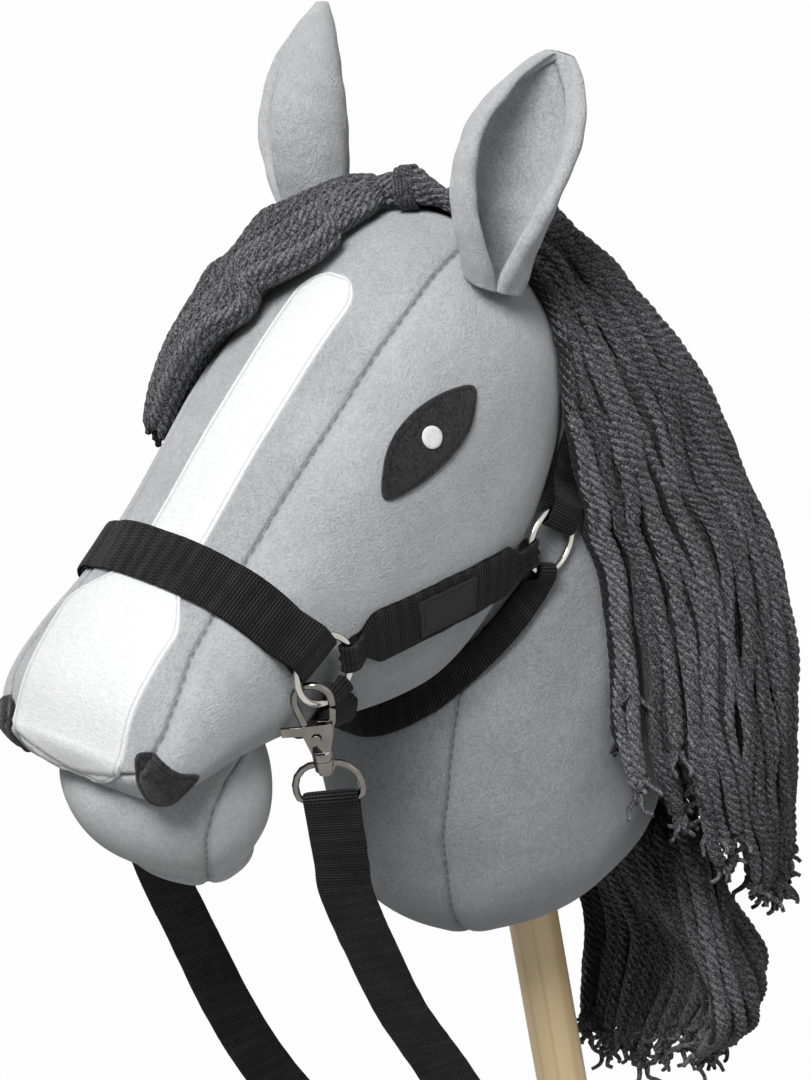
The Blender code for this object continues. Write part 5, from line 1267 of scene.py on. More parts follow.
# %% Strap meshes
STRAP_COLUMNS = np.array([-1.0, -0.965, -0.86, -0.6, -0.3, 0.0, 0.3, 0.6, 0.86, 0.965, 1.0])
STRAP_STEP, STRAP_FOLD, STRAP_UNEVEN = 0.0011, 0.0015, 0.00022  # along it, at a gather, and all along


def read_sections(sections, places):
    """The lower edge, middle, upper edge and normal of a strap at distances along its middle."""
    run = run_length(sections[:, 1])
    return [np.stack([np.interp(places, run, sections[:, j, k]) for k in range(3)], -1) for j in range(4)]


def strap_mesh(
    name, sections, node, body="horse", closed=False, material=WEBBING, thickness=STRAP_THICKNESS,
    full=STRAP_WIDTH, slot="black_webbing", seed=0,
):
    """A band of webbing with rounded selvedges: p(c) = mid + c (high - low) / 2 + c^2 ((high + low) / 2 -
    mid), and half its thickness times sqrt(1 - c^8) to both sides. Where it is gathered it folds into
    lengthwise waves, and it lies a little unevenly all along."""
    if closed:
        sections = np.concatenate([sections, sections[:1]])
    length = run_length(sections[:, 1])[-1]
    places = np.linspace(0, length, int(length / STRAP_STEP) + 2)
    parts = read_sections(sections, places)
    for _ in range(2):  # eases the corners between two sections
        for part in parts:
            part[1:-1] = (part[:-2] + 2 * part[1:-1] + part[2:]) / 4
    low, mid, high, normal = parts
    normal = unit(normal)
    c = STRAP_COLUMNS[None, :, None]
    spread = (high - low)[:, None] / 2
    sag = ((high + low) / 2 - mid)[:, None]
    sheet = mid[:, None] + c * spread + c * c * sag
    tight = np.clip(1 - np.linalg.norm(high - low, axis=1) / full, 0, 1)
    folds = STRAP_FOLD * tight[:, None] * np.cos(STRAP_COLUMNS * 2.6 * math.pi)[None, :]
    rise, tilt = wave(places, 0.03, seed)[:, None], wave(places, 0.022, seed + 1)[:, None]
    uneven = STRAP_UNEVEN * (rise + STRAP_COLUMNS[None] * tilt)
    sheet = sheet + normal[:, None] * (folds + uneven)[..., None]
    lift = np.sqrt(1 - np.abs(STRAP_COLUMNS) ** 8)[None, :, None] * thickness / 2
    top, under = sheet + normal[:, None] * lift, sheet - normal[:, None] * lift
    grid = np.concatenate([top, under[:, -2:0:-1]], axis=1)
    across = np.concatenate([STRAP_COLUMNS, STRAP_COLUMNS[-2:0:-1], [-1.0]]) * full / 2 + full / 2
    made = Builder().grid(grid, across, places, closed=True, caps=not closed)
    made = made.make(name, body, slot, material, weld=1e-6 if closed else 0.0)
    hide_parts(node)
    return grid


# %% Halter straps
RING_MARGIN = 0.008  # from a ring's wire to where its strap lies on the plush


def halter_strap(
    name, node, skin, ring, leave, degrees, end_width, width=STRAP_WIDTH, raised=0.0, count=90, seed=0
):
    """A strap from the left ring over or under the head to the right ring, with a sewn fold at each end. Its
    left half is worked out and mirrored."""
    turn = math.radians(degrees)
    along = (math.cos(turn), math.sin(turn))
    away = RING_RADIUS + RING_WIRE / 2 + RING_MARGIN
    shift = ring.middle + ring.way(leave) * away - np.array([0, along[0], along[1]]) * away
    origin = (shift[1], shift[2])
    side = outline_reach(skin.hull(origin, along, 0.0), np.zeros(2), 0.0)
    start = math.atan2(away, side)
    turns = np.linspace(start, math.pi / 2, count)
    layer = STRAP_THICKNESS + CLEAR
    base = STRAP_REST + STRAP_THICKNESS / 2
    run = (turns - start) * side
    folded = np.clip((FOLD_LENGTH + 0.006 - run) / 0.008, 0, 1)
    topped = np.clip((turns - math.radians(48)) / math.radians(14), 0, 1)
    lift = base + np.maximum(folded * layer, topped * raised)
    least = min(1.0, end_width / width)
    over = strap_sections(skin, origin, along, 0.0, turns, lift, width)
    over = gather(over, least + (1 - least) * np.clip(run / GATHER_LENGTH, 0, 1))
    under_run = np.append(np.arange(0, FOLD_LENGTH - 0.006, 0.003), FOLD_LENGTH - 0.004)
    under = strap_sections(skin, origin, along, 0.0, start + under_run / side, [base] * len(under_run), width)
    under = gather(under, least + (1 - least) * np.clip(under_run / GATHER_LENGTH, 0, 1))
    loop = ring_loop(ring, leave, end_width / 2)
    loop = level(loop, over[0, 2] - over[0, 0])
    half = np.concatenate([turned(under), loop, over])
    return strap_mesh(name, np.concatenate([half, mirror_run(half[:-1])]), node, full=width, seed=seed)


def cheek_strap(name, node, skin, front, back, side, count=60):
    """The doubled strap between the mouth ring and the cheek ring, as one closed band with two layers."""
    gap = np.array([back.middle[1] - front.middle[1], back.middle[2] - front.middle[2]])
    length = np.linalg.norm(gap)
    along = tuple(gap / length)
    origin = (front.middle[1], front.middle[2])
    middle = length / 2
    margin = RING_RADIUS + RING_WIRE / 2 + RING_MARGIN
    reach = outline_reach(skin.hull(origin, along, 0.0), np.array([0.0, middle]), 0.0)
    edge = math.atan2(middle - margin, reach)
    turns = np.linspace(-edge, edge, count)
    base = STRAP_REST + STRAP_THICKNESS / 2
    layer = STRAP_THICKNESS + CLEAR
    inner = strap_sections(skin, origin, along, middle, turns, [base] * count)
    outer = strap_sections(skin, origin, along, middle, turns, [base + layer] * count)
    least = GATHERED_WIDTH / STRAP_WIDTH
    run = reach * (np.tan(edge) - np.abs(np.tan(turns)))
    shares = least + (1 - least) * np.clip(run / GATHER_LENGTH, 0, 1)
    inner, outer = gather(inner, shares), gather(outer, shares)
    degrees = math.degrees(math.atan2(along[1], along[0]))
    up = inner[0, 2] - inner[0, 0]
    front_loop = level(ring_loop(front, degrees, GATHERED_WIDTH / 2), up)
    back_loop = level(ring_loop(back, degrees + 180, GATHERED_WIDTH / 2)[::-1], up)
    path = np.concatenate([front_loop, outer, back_loop, turned(inner)])
    strap_mesh(name, path * np.array([side, 1, 1]), node, closed=True, seed=40)
    return outer


def ring_wire(node, middle, normal, turns=72, sides=18):
    """A ring of round wire: middle + (R + r cos s) (a cos t + b sin t) + r sin s normal."""
    normal = unit(normal)
    a = unit(np.cross(normal, [0.3, 0.9, 0.2]))
    b = np.cross(normal, a)
    t = np.linspace(0, 2 * math.pi, turns + 1)[:, None]
    out = a * np.cos(t) + b * np.sin(t)
    s = np.linspace(0, 2 * math.pi, sides, endpoint=False)[None, :, None]
    wire = RING_WIRE / 2
    grid = middle + out[:, None] * (RING_RADIUS + wire * np.cos(s)) + normal * (wire * np.sin(s))
    loop = np.linspace(0, math.pi * RING_WIRE, sides + 1)
    made = Builder().grid(grid, loop, t[:, 0] * RING_RADIUS, closed=True)
    made = made.make(node + "_wire", node, "nickel_plate", RING_METAL, weld=1e-6)
    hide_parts(node)


# %% Halter
mouth, cheek = RingPlace("mouth_ring_left"), RingPlace("cheek_ring_left")
full_width = STRAP_WIDTH - 0.0008
halter_strap(
    "noseband_webbing", "noseband", ON_HEAD, mouth, NOSEBAND_ANGLE, NOSEBAND_ANGLE, full_width,
    raised=FELT_THICKNESS + 2 * CLEAR, seed=10,
)
halter_strap("chin_webbing", "chin_strap", ON_HEAD, mouth, CHIN_ANGLE, CHIN_ANGLE, GATHERED_WIDTH, seed=12)
CROWN_GRID = halter_strap(
    "crown_webbing", "crown_strap", ON_PLUSH, cheek, CROWN_ANGLE, CROWN_ANGLE, full_width, seed=14
)
halter_strap(
    "throat_webbing", "throat_strap", ON_PLUSH, cheek, THROAT_LOOP_ANGLE, THROAT_ANGLE, GATHERED_WIDTH,
    GATHERED_WIDTH, seed=16,
)
STRAP_TOP = cheek_strap("cheek_webbing_left", "cheek_strap_left", ON_PLUSH, mouth, cheek, 1)
cheek_strap("cheek_webbing_right", "cheek_strap_right", ON_PLUSH, mouth, cheek, -1)
for ring, word in ((mouth, "mouth_ring"), (cheek, "cheek_ring")):
    for side, which in ((1, "left"), (-1, "right")):
        flip = np.array([side, 1, 1])
        ring_wire(word + "_" + which, ring.middle * flip, ring.normal * flip)
print("straps and rings made")


# %% Patch
LABEL_THICKNESS = 0.0012


def make_label(strap_top):
    """The bare patch on the left cheek strap, which follows the strap's upper face."""
    middle = run_length(strap_top[:, 1])[-1] / 2
    low, mid, high, normal = read_sections(
        strap_top, middle + np.linspace(-LABEL_LENGTH / 2, LABEL_LENGTH / 2, 30)
    )
    normal = unit(normal)
    rise = normal * ((STRAP_THICKNESS + LABEL_THICKNESS) / 2 + 0.0001)
    share = LABEL_HEIGHT / STRAP_WIDTH
    low, high = mid + (low - mid) * share, mid + (high - mid) * share
    sections = np.stack([low + rise, mid + rise, high + rise, normal], axis=1)
    strap_mesh(
        "label_blank", sections, "label_patch", material=LABEL, thickness=LABEL_THICKNESS, full=LABEL_HEIGHT,
        slot="label_leather",
    )


make_label(STRAP_TOP)
print("halter made")

# %% [markdown]
# ## Hooks and rein
# The snap hooks are cast metal, so they keep their CAD shapes and get rounded edges and plating. The rein
# hangs as it does at rest: its middle line follows the CAD's route, and its width turns on the way. A cloth
# simulation would give another shape at each run, so the route is given.

# %% Hooks
HOOK_BEVEL = 0.0003


def finish_metal(name, material):
    """Round a CAD piece's edges and plate it, without touching its shape in the frame."""
    thing = frame["nodes"][name]
    mesh = thing.data
    for key in ("custom_normal", "sharp_face"):
        if key in mesh.attributes:
            mesh.attributes.remove(mesh.attributes[key])
    weld = thing.modifiers.new("weld", "WELD")
    weld.merge_threshold = 1e-6
    bevel = thing.modifiers.new("bevel", "BEVEL")
    bevel.width, bevel.segments, bevel.limit_method = HOOK_BEVEL, 2, "ANGLE"
    bevel.angle_limit = math.radians(50)
    mesh.shade_smooth()
    mesh.materials.clear()
    mesh.materials.append(material)


for word in ("left", "right"):
    for node in ("hook_body_", "hook_gate_", "hook_rivet_", "swivel_loop_"):
        finish_metal(node + word, CHROME)
print("hooks plated")

# %% Rein
LOOP_WIRE, LOOP_BAR = 0.0033, 0.0585
HOOK_TURN, REIN_TURN_BIGHT = 40.0, 90.0
REIN_ROUTE = [
    (66, -164, 123), (62, -152, 80), (59, -140, 42), (55, -121, -1), (50, -101, -48), (43, -80, -98),
    (36, -56, -150), (30, -31, -198), (25, -3, -242), (16, 24, -273), (0, 33, -281), (-16, 24, -273),
    (-28, -4, -248), (-35, -38, -206), (-42, -72, -162), (-47, -98, -116), (-52, -121, -74), (-57, -138, -33),
    (-61, -149, 6), (-65, -157, 48), (-68, -165, 90), (-69, -170, 130),
]


def make_rein(link):
    """Webbing from one swivel loop to the other, sewn back round each bar. It turns behind the stick."""
    face = np.array([math.sin(math.radians(HOOK_TURN)), -math.cos(math.radians(HOOK_TURN)), 0.0])
    drop_to_bar = np.array([0, 0, LOOP_BAR])
    bars = [link - drop_to_bar, link * np.array([-1.0, 1, 1]) - drop_to_bar]
    bend = LOOP_WIRE / 2 + CLEAR + STRAP_THICKNESS / 2
    route = [placed(p) for p in REIN_ROUTE]
    start, end = bars[0] + face * bend, bars[1] + face * bend
    knots = [start, start + (route[0] - start) * 0.33, start + (route[0] - start) * 0.66] + route
    knots += [end + (route[-1] - end) * 0.66, end + (route[-1] - end) * 0.33, end]
    path = smooth_rows(knots, 260)
    run = run_length(path)
    bight = np.interp(run / run[-1], [0, 0.12, 0.42, 0.58, 0.88, 1], [0, 0, 1, 1, 0, 0])
    ahead = unit(np.gradient(path, axis=0))
    turn = np.radians(HOOK_TURN + (REIN_TURN_BIGHT - HOOK_TURN) * bight)
    wide = np.stack([np.cos(turn), np.sin(turn), 0 * turn], -1)
    wide = unit(wide - ahead * (wide * ahead).sum(-1)[:, None]) * STRAP_WIDTH / 2
    normal = unit(np.cross(wide, ahead))
    if normal[0] @ face < 0:
        normal = -normal
    line = np.stack([path - wide, path, path + wide, normal], axis=1)
    flat = np.array([face[1], -face[0], 0.0]) * -STRAP_WIDTH / 2

    def wrap(bar):
        """Sections of the half turn round a bar."""
        out = []
        for t in np.linspace(0, math.pi, 15)[1:]:
            way = face * math.cos(t) + UP * math.sin(t)
            out.append([bar + way * bend - flat, bar + way * bend, bar + way * bend + flat, way])
        return np.array(out)

    def fold(sections):
        """Sections of the sewn end that lies back along the strap."""
        along = run_length(sections[:, 1])
        out = []
        for reach in np.linspace(0.004, 0.029, 14):
            low, mid, high, up = sections[min(int(np.searchsorted(along, reach)), len(sections) - 1)]
            up = up if up @ face > 0 else -up
            layer = STRAP_THICKNESS + CLEAR
            gap = -up * (layer + (2 * bend - layer) * max(0.0, 1 - reach / 0.012))
            out.append([low + gap, mid + gap, high + gap, -up])
        return np.array(out)

    near, far = fold(line), fold(line[::-1])
    sections = np.concatenate([near[::-1], wrap(bars[0])[::-1], line, wrap(bars[1]), far])
    for k in range(1, len(sections)):
        if (sections[k, 2] - sections[k, 0]) @ (sections[k - 1, 2] - sections[k - 1, 0]) < 0:
            sections[k, [0, 2]] = sections[k, [2, 0]]
        if sections[k, 3] @ sections[k - 1, 3] < 0:
            sections[k, 3] *= -1
    strap_mesh("rein_webbing", sections, "rein", "reins", seed=20)
    print("rein", round(float(run[-1]), 3), "m")


LINK = mouth.middle + mouth.way(HOOK_ANGLE) * HOOK_LINK_RADIUS
make_rein(LINK)

# %% [markdown]
# ## Yarn
# The mane is dozens of strands of thick plied yarn. Hair particles would have no plies, so every strand is a
# tube whose rings turn with its plies, and the ridges are real. The strands lie in layers between the inner
# and the outer face of a curtain, which follows the neck in slices, and their ends are unravelled.

# %% Mane slices
# A row: back and up in mm, tilt in degrees, first and last angle, and mm out at its edges and middle
MANE_SLICES = [
    (0, 330, 76, 58, 122, 10, 13), (0, 320, 62, 46, 128, 7, 11), (0, 310, 46, 34, 129, 7, 12),
    (0, 300, 29, 22, 126, 8, 16), (0, 285, 14, 14, 122, 9, 22), (0, 262, 5, 13, 118, 12, 35),
    (0, 235, 0, 14, 114, 12, 46), (0, 200, 0, 16, 110, 13, 54), (0, 166, 0, 10, 106, 14, 62),
    (0, 130, 0, 2, 102, 16, 67), (0, 100, 0, 0, 99, 20, 69), (0, 62, 0, 2, 96, 26, 66),
    (0, 38, 0, 8, 92, 32, 62), (0, 10, 0, 14, 88, 38, 56), (0, -20, 0, 24, 86, 38, 52),
]
HANK_SLICES = [
    (0, 235, 0, 120, 146, 9, 15), (0, 200, 0, 115, 146, 9, 17), (0, 166, 0, 111, 144, 9, 18),
    (0, 130, 0, 107, 141, 9, 18), (0, 95, 0, 102, 138, 9, 18), (0, 50, 0, 94, 132, 9, 19),
    (0, 10, 0, 60, 127, 12, 23), (0, -30, 0, 36, 122, 19, 25), (0, -66, 0, 31, 121, 22, 38),
    (0, -100, 0, 35, 124, 17, 38), (0, -130, 0, 46, 127, 8, 31), (0, -158, 0, 58, 127, 2, 23),
]
MANE_FLOOR, NECK_BOTTOM, MANE_DEPTH = 75.0, 19.0, 0.042
MANE_RISE, HANK_RISE = (130.0, 0.76, 4.0), (-60.0, 0.45, 1.0)
print("slices:", len(MANE_SLICES), "and", len(HANK_SLICES))


# %% Curtain
class Curtain:
    """The space between a curtain's inner and outer face, read by row, by share across and by depth. A point
    is base + (cos a, sin a) (reach of the plush + stand) with the angle a from first to last, where stand
    swells from edge to middle by sin(pi share)^0.7."""

    def __init__(self, skin, slices, hanging, cut_rise, rows=64, columns=41):
        inner, outer = [], []
        shares = np.linspace(0, 1, columns)
        table = smooth_rows(slices, rows)
        for oy, oz, rise, first, last, edge, middle in table:
            turn = math.radians(rise)
            along = (math.cos(turn), math.sin(turn))
            level_at = max(oz, MANE_FLOOR) if rise < 1 else oz
            outline = skin.hull((oy * MM, level_at * MM + BASE), along, 0.0)
            base = np.array([0, oy * MM, oz * MM + BASE])
            forward = np.array([0.0, along[0], along[1]])
            nearest = hanging if oz < NECK_BOTTOM - 4 else 0.002
            low_row, high_row = [], []
            for share in shares:
                swing = math.radians(first + (last - first) * share)
                reach = outline_reach(outline, np.zeros(2), swing)
                stand = (edge + (middle - edge) * math.sin(math.pi * share) ** 0.7) * MM
                deep = max(0.25, math.sin(math.pi * share) ** 0.5) * MANE_DEPTH
                low = max(stand - deep, nearest)
                way = np.array([math.cos(swing), 0, 0]) + forward * math.sin(swing)
                slant = UP * MM * max(0.0, cut_rise[0] - oz) * cut_rise[1] * (1 - share) ** cut_rise[2]
                low_row.append(base + slant + way * (reach + low))
                high_row.append(base + slant + way * (reach + max(stand, low + 0.004)))
            inner.append(low_row)
            outer.append(high_row)
        self.inner, self.outer = np.array(inner), np.array(outer)
        self.rows, self.columns = rows, columns
        self.heights = table[:, 1]

    def read(self, grid, row, share):
        """Bilinear reading of a grid."""
        row = np.clip(row, 0, self.rows - 1.0001)
        col = np.clip(share, 0, 1) * (self.columns - 1.0001)
        r, c = row.astype(int), col.astype(int)
        a, b = (row - r)[:, None], (col - c)[:, None]
        low = grid[r, c] * (1 - b) + grid[r, c + 1] * b
        high = grid[r + 1, c] * (1 - b) + grid[r + 1, c + 1] * b
        return low * (1 - a) + high * a

    def path(self, row, share, offset, inside=False):
        """Points below the outer face by an offset, and never through the inner face. Inside, it is the
        other way round."""
        outer, inner = self.read(self.outer, row, share), self.read(self.inner, row, share)
        if inside:
            outer, inner = inner, outer
        gap = outer - inner
        size = np.linalg.norm(gap, axis=1)
        offset = np.minimum(offset, np.maximum(size - 0.002, 0.3 * size))
        return outer - gap / size[:, None] * offset[:, None]

    def width(self, row):
        """Arc length across the outer face at a row."""
        return run_length(self.outer[int(row)])[-1]


# %% Strands
STRAND, STRAND_STEP = 0.0031, 0.0021  # radius of a strand, and the distance between its rings
LAY = 0.020  # length in which the plies go once round
LOBES = np.array([0.84, 1.05, 1.05])  # share of the radius at a groove and twice over a ply


def strand_grid(path, radius, spin):
    """Rings of a plied strand with a groove and two points over each ply: r = lobe R, each ring turned by
    2 pi run / LAY. The ends taper."""
    run = run_length(path)
    places = np.linspace(0, run[-1], max(4, int(run[-1] / STRAND_STEP)))
    radius = np.interp(places, run, np.broadcast_to(np.asarray(radius, float), (len(path),)))
    path = resample(path, places)
    ahead = unit(np.gradient(path, axis=0))
    side = np.zeros_like(path)
    side[0] = unit(np.cross(ahead[0], [0.3, 0.2, 0.9]))
    for k in range(1, len(path)):
        v = side[k - 1] - ahead[k] * (side[k - 1] @ ahead[k])
        side[k] = v / math.sqrt(v @ v)
    rise = np.cross(side, ahead)
    sides = PLIES * len(LOBES)
    turn = np.arange(sides) * 2 * math.pi / sides + (2 * math.pi * places / LAY + spin)[:, None]
    taper = np.clip(np.minimum(places, run[-1] - places) / 0.006, 0.55, 1.0)[:, None]
    size = np.tile(LOBES, PLIES)[None] * taper * radius[:, None]
    out, up = (np.cos(turn) * size)[..., None], (np.sin(turn) * size)[..., None]
    grid = path[:, None] + out * side[:, None] + up * rise[:, None]
    return grid, places, ahead[-1], path[-1]


class Strands:
    """Builds many strands into one mesh, with unravelled ends."""

    def __init__(self, seed):
        self.builder = Builder()
        self.rng = np.random.default_rng(seed)

    def add(self, path, radius, tone=0.0, fray=True):
        """One strand along a path."""
        grid, places, ahead, end = strand_grid(path, radius, self.rng.uniform(0, 6.28))
        u = np.linspace(0, 1, PLIES * len(LOBES) + 1)
        self.builder.grid(grid, u, places + self.rng.uniform(0, 1), closed=True, caps=True, tone=tone)
        if fray:
            self.fray(end, ahead, float(np.mean(radius)), tone)

    def fray(self, end, ahead, radius, tone):
        """Plies that spread out, sag and curl from a strand's end."""
        rng = self.rng
        side = unit(np.cross(ahead, [0.3, 0.9, 0.2]))
        rise = np.cross(side, ahead)
        spin = rng.uniform(0, 6.28)
        for k in range(PLIES):
            turn = spin + k * 2 * math.pi / PLIES
            way = side * math.cos(turn) + rise * math.sin(turn)
            length = rng.uniform(0.005, 0.014)
            t = np.linspace(0, 1, 9)[:, None]
            curl = rng.uniform(0, 6.28)
            spread = way * (0.55 * radius + length * rng.uniform(0.2, 0.8) * t**1.5)
            loop = (side * np.sin(t * 6 + curl) + rise * np.cos(t * 6 + curl)) * 0.0022 * t
            back = np.where(t > 0.7, (t - 0.7) * rng.uniform(0.0, 1.8), 0)
            path = end - ahead * 0.002 + ahead * length * (t - back) + spread + loop - UP * 0.002 * t**2
            grid = tube_grid(path, np.linspace(0.0017, 0.0010, 9), 6)
            u, v = np.linspace(0, 1 / PLIES, 7), np.linspace(0, length, 9)
            self.builder.grid(grid, u, v, closed=True, caps=True, tone=tone + 0.25)

    def make(self, name):
        """The finished mesh."""
        return self.builder.make(name, "horse", "grey_yarn", YARN)


# %% Curtains of strands
def curtain_strands(curtain, name, node, count, layers, seed, spare, inside_from=None, cut=None):
    """Strands side by side in layers. A strand starts where the row has become wide enough for it, tucked
    under its neighbours, and ends within spare rows of the last row, or at a height that rises towards the
    near edge: z = z_last + (cut_0 - z_last) cut_1 (1 - share) ** cut_2, in mm, with scatter. The last layer
    lies on the inner face, from the row inside_from on, where one is given."""
    rng = np.random.default_rng(seed)
    widths = np.array([curtain.width(r) for r in range(curtain.rows)])
    for layer in range(layers + (inside_from is not None)):
        strands = Strands(seed + layer)
        inside, deeper = layer == layers, layer % layers
        number = count - 2 * layer
        order = rng.permutation(number)
        for k in range(number):
            share = max(0.0, 1.03 * (k + 0.5 + rng.uniform(-0.45, 0.45)) / number - 0.015)
            need = (order[k] + 1) * STRAND * 1.35
            first = float(np.argmax(widths >= min(need, widths.max())))
            first = inside_from + rng.uniform(0, 2) if inside else first
            last = curtain.rows - 1 - rng.uniform(0, spare) - deeper * 1.5
            if cut is not None:
                bottom = curtain.heights[-1]
                stop = bottom + (cut[0] - bottom) * cut[1] * (1 - share) ** cut[2] + rng.uniform(-14, 22)
                stop += (rng.random() < 0.35) * rng.uniform(8, 55)
                last = min(last, float(np.interp(-stop, -curtain.heights, np.arange(curtain.rows))))
            row = np.linspace(first, last, 90)
            run = run_length(curtain.path(row, np.full(90, share), np.full(90, 0.004)))
            sway = wave(run, 0.16, seed * 100 + layer * 50 + k, 2)
            drift = share + sway * 0.014 * min(1.0, share / 0.05)
            swell = wave(run, 0.03, seed * 31 + layer * 60 + k, 2)
            size = STRAND * (rng.uniform(0.90, 1.16) + 0.07 * swell)
            offset = size * 0.9 + deeper * STRAND * 1.6 + rng.uniform(0, 0.0045)
            offset = offset + 0.0024 * wave(run, 0.11, seed * 77 + layer * 40 + k, 2)
            offset = offset + 0.007 * np.exp(-run / 0.012) * (first > 0)
            path = curtain.path(row, drift, offset, inside)
            # a random tone, less 0.9 for each deeper layer as painted shade
            strands.add(path, size, rng.uniform(-0.5, 0.5) - 0.9 * deeper)
        part = strands.make(name + "_" + "abc"[layer])
        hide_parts(node)
        print(part.name, len(part.data.polygons))


def curtain_core(curtain, name, node, depth, inset=0.0):
    """The inside of a curtain, so no light comes through it: a closed band under the strands. Its low tone
    makes it darker, a painted shade.
    """
    shares = np.linspace(0.08, 0.92, 33)
    across = np.ones_like(shares)
    rows = [across * float(r) for r in range(curtain.rows - 9)]
    outer = np.array([curtain.path(row, shares, across * depth) for row in rows])
    inner = np.array([curtain.path(row, shares, across * inset, True) for row in rows])
    grid = np.concatenate([outer, inner[:, ::-1]], axis=1)
    loop = np.linspace(0, 0.3, 67)
    # the tone of -1.0 paints the core in shade
    made = Builder().grid(grid, loop, run_length(grid[:, 10]), closed=True, caps=True, tone=-1.0)
    made = made.make(name, "horse", "grey_yarn", YARN)
    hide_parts(node)


# %% Mane
ON_ALL = Skin([HEAD_GRID, NECK_GRID, CROWN_GRID])
MANE = Curtain(ON_ALL, MANE_SLICES, 0.030, MANE_RISE)
HANK = Curtain(ON_PLUSH, HANK_SLICES, -MANE_DEPTH, HANK_RISE)
STRAIGHT_MANE = Curtain(ON_ALL, MANE_SLICES, 0.030, (MANE_RISE[0], 0.0, 1.0))
curtain_strands(STRAIGHT_MANE, "mane_yarn", "mane_near", 38, 2, 51, 5, cut=MANE_RISE)
curtain_core(MANE, "mane_yarn_core", "mane_near", 0.0125)
curtain_strands(HANK, "hank_yarn", "mane_far", 27, 2, 61, 7, inside_from=33.0)
curtain_core(HANK, "hank_yarn_core", "mane_far", 0.011, 0.009)

# %% [markdown]
# ## Forelock and tie
# A bundle of the same yarn is tied between the ears and swept over the right side of the forehead. Its
# middle line is laid on the plush, and the strands lie round it on an oval that turns a little on the way.

# %% Forelock
FORELOCK_WIDTH, FORELOCK_THICKNESS = 0.077, 0.028
FORELOCK_ROUTE = [
    (-10, -4, 390), (-22, -15, 387), (-32, -25, 381), (-36, -39, 378), (-43, -54, 371), (-52, -71, 359),
    (-61, -87, 345), (-68, -98, 330), (-73, -107, 312), (-75, -113, 297),
]


def make_forelock(outer=23, inner=16, twist=30.0):
    """Strand k lies at angle 2 pi k / count + twist * share on an oval of the bundle's width and thickness,
    and is kept out of the plush."""
    path = smooth_rows(np.array(FORELOCK_ROUTE) * MM, 90) + UP * BASE
    share = np.linspace(0, 1, len(path))
    swell = np.interp(share, [0, 0.12, 0.35, 0.6, 0.8, 1.0], [0.30, 0.68, 0.98, 0.90, 0.66, 0.34])
    for j, p in enumerate(path):
        ground, out = ON_HEAD.near(p)
        lying = ground + out * (FORELOCK_THICKNESS / 2 * (0.3 + 0.7 * swell[j]) - 0.001)
        path[j] = p + (lying - p) * np.clip((share[j] - 0.3) / 0.25, 0, 1)
    for _ in range(12):
        path[1:-1] = (path[:-2] + 2 * path[1:-1] + path[2:]) / 4
    ahead = unit(np.gradient(path, axis=0))
    normal = np.array([ON_HEAD.near(p)[1] for p in path])
    normal = unit(normal - ahead * (normal * ahead).sum(-1)[:, None])
    across = np.cross(ahead, normal)
    strands = Strands(71)
    rng = np.random.default_rng(72)
    # the inner strands get a low tone, a painted shade
    for count, inset, tone in ((outer, 0.9, 0.1), (inner, 2.1, -0.9)):
        for k in range(count):
            swing = 2 * math.pi * (k + rng.uniform(-0.2, 0.2)) / count + math.radians(twist) * share
            wide = np.maximum(FORELOCK_WIDTH / 2 * swell - (inset + rng.uniform(-0.3, 0.3)) * STRAND, 0.001)
            thick = np.maximum(FORELOCK_THICKNESS / 2 * (0.3 + 0.7 * swell) - inset * STRAND, 0.001)
            line = path + across * (np.cos(swing) * wide)[:, None] + normal * (np.sin(swing) * thick)[:, None]
            line = line[: len(path) - int(rng.uniform(0, 9))]
            for _ in range(3):
                for j, p in enumerate(line):
                    ground, out = ON_HEAD.near(p)
                    height = (p - ground) @ out
                    if height < STRAND * 0.7:
                        line[j] = ground + out * STRAND * 0.7
                for _ in range(4):
                    line[1:-1] = (line[:-2] + 2 * line[1:-1] + line[2:]) / 4
            strands.add(line, STRAND * rng.uniform(0.86, 1.0), tone + rng.uniform(-0.6, 0.6), fray=False)
    made = strands.make("forelock_yarn")
    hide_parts("forelock")
    print("forelock", len(made.data.polygons))


make_forelock()

# %% Tie
TIE_DIAMETER, TIE_WIDTH, TIE_STRAND = 0.021, 0.009, 0.0016
TIE_PLACE = placed([0, 2, 391])


def make_tie(turns=5):
    """Yarn wound round the bundle between the ears, and the strands that run through it back to the mane."""
    axis = np.array([math.cos(math.radians(35)), math.sin(math.radians(35)), 0.0])
    side = unit(np.cross(axis, UP))
    t = np.linspace(0, turns, turns * 28)
    turn = 2 * math.pi * t
    radius = TIE_DIAMETER / 2 - TIE_STRAND
    path = TIE_PLACE + axis * ((t / turns - 0.5) * (TIE_WIDTH - TIE_STRAND))[:, None]
    path = path + radius * (np.cos(turn)[:, None] * UP + np.sin(turn)[:, None] * side)
    grid = tube_grid(path, TIE_STRAND, 10)
    builder = Builder().grid(grid, np.linspace(0, 1, 11), run_length(path), closed=True, caps=True, tone=-0.3)
    made = builder.make("poll_tie_yarn", "horse", "grey_yarn", YARN)
    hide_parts("poll_tie")
    strands = Strands(81)
    rng = np.random.default_rng(82)
    start = placed(FORELOCK_ROUTE[0])
    for k in range(15):
        spin = 2 * math.pi * k / 9 if k < 9 else 2 * math.pi * k / 6
        ring = (0.0058 if k < 9 else 0.0022) * (np.cos(spin) * UP + np.sin(spin) * side)
        share = (k + 0.5) / 15 if k < 9 else (k - 8.5) / 6
        row = np.array([1.0, 4.0, 7.0])
        later = MANE.path(row, np.full(3, share), np.full(3, 0.005 + 0.002 * (k >= 9)))
        knots = [start - axis * 0.004 + ring, TIE_PLACE + ring * 0.9, TIE_PLACE + axis * 0.006 + ring, *later]
        strands.add(smooth_rows(np.array(knots), 40), STRAND * 0.85, rng.uniform(-0.3, 0.2), fray=False)
    strands.make("poll_yarn")


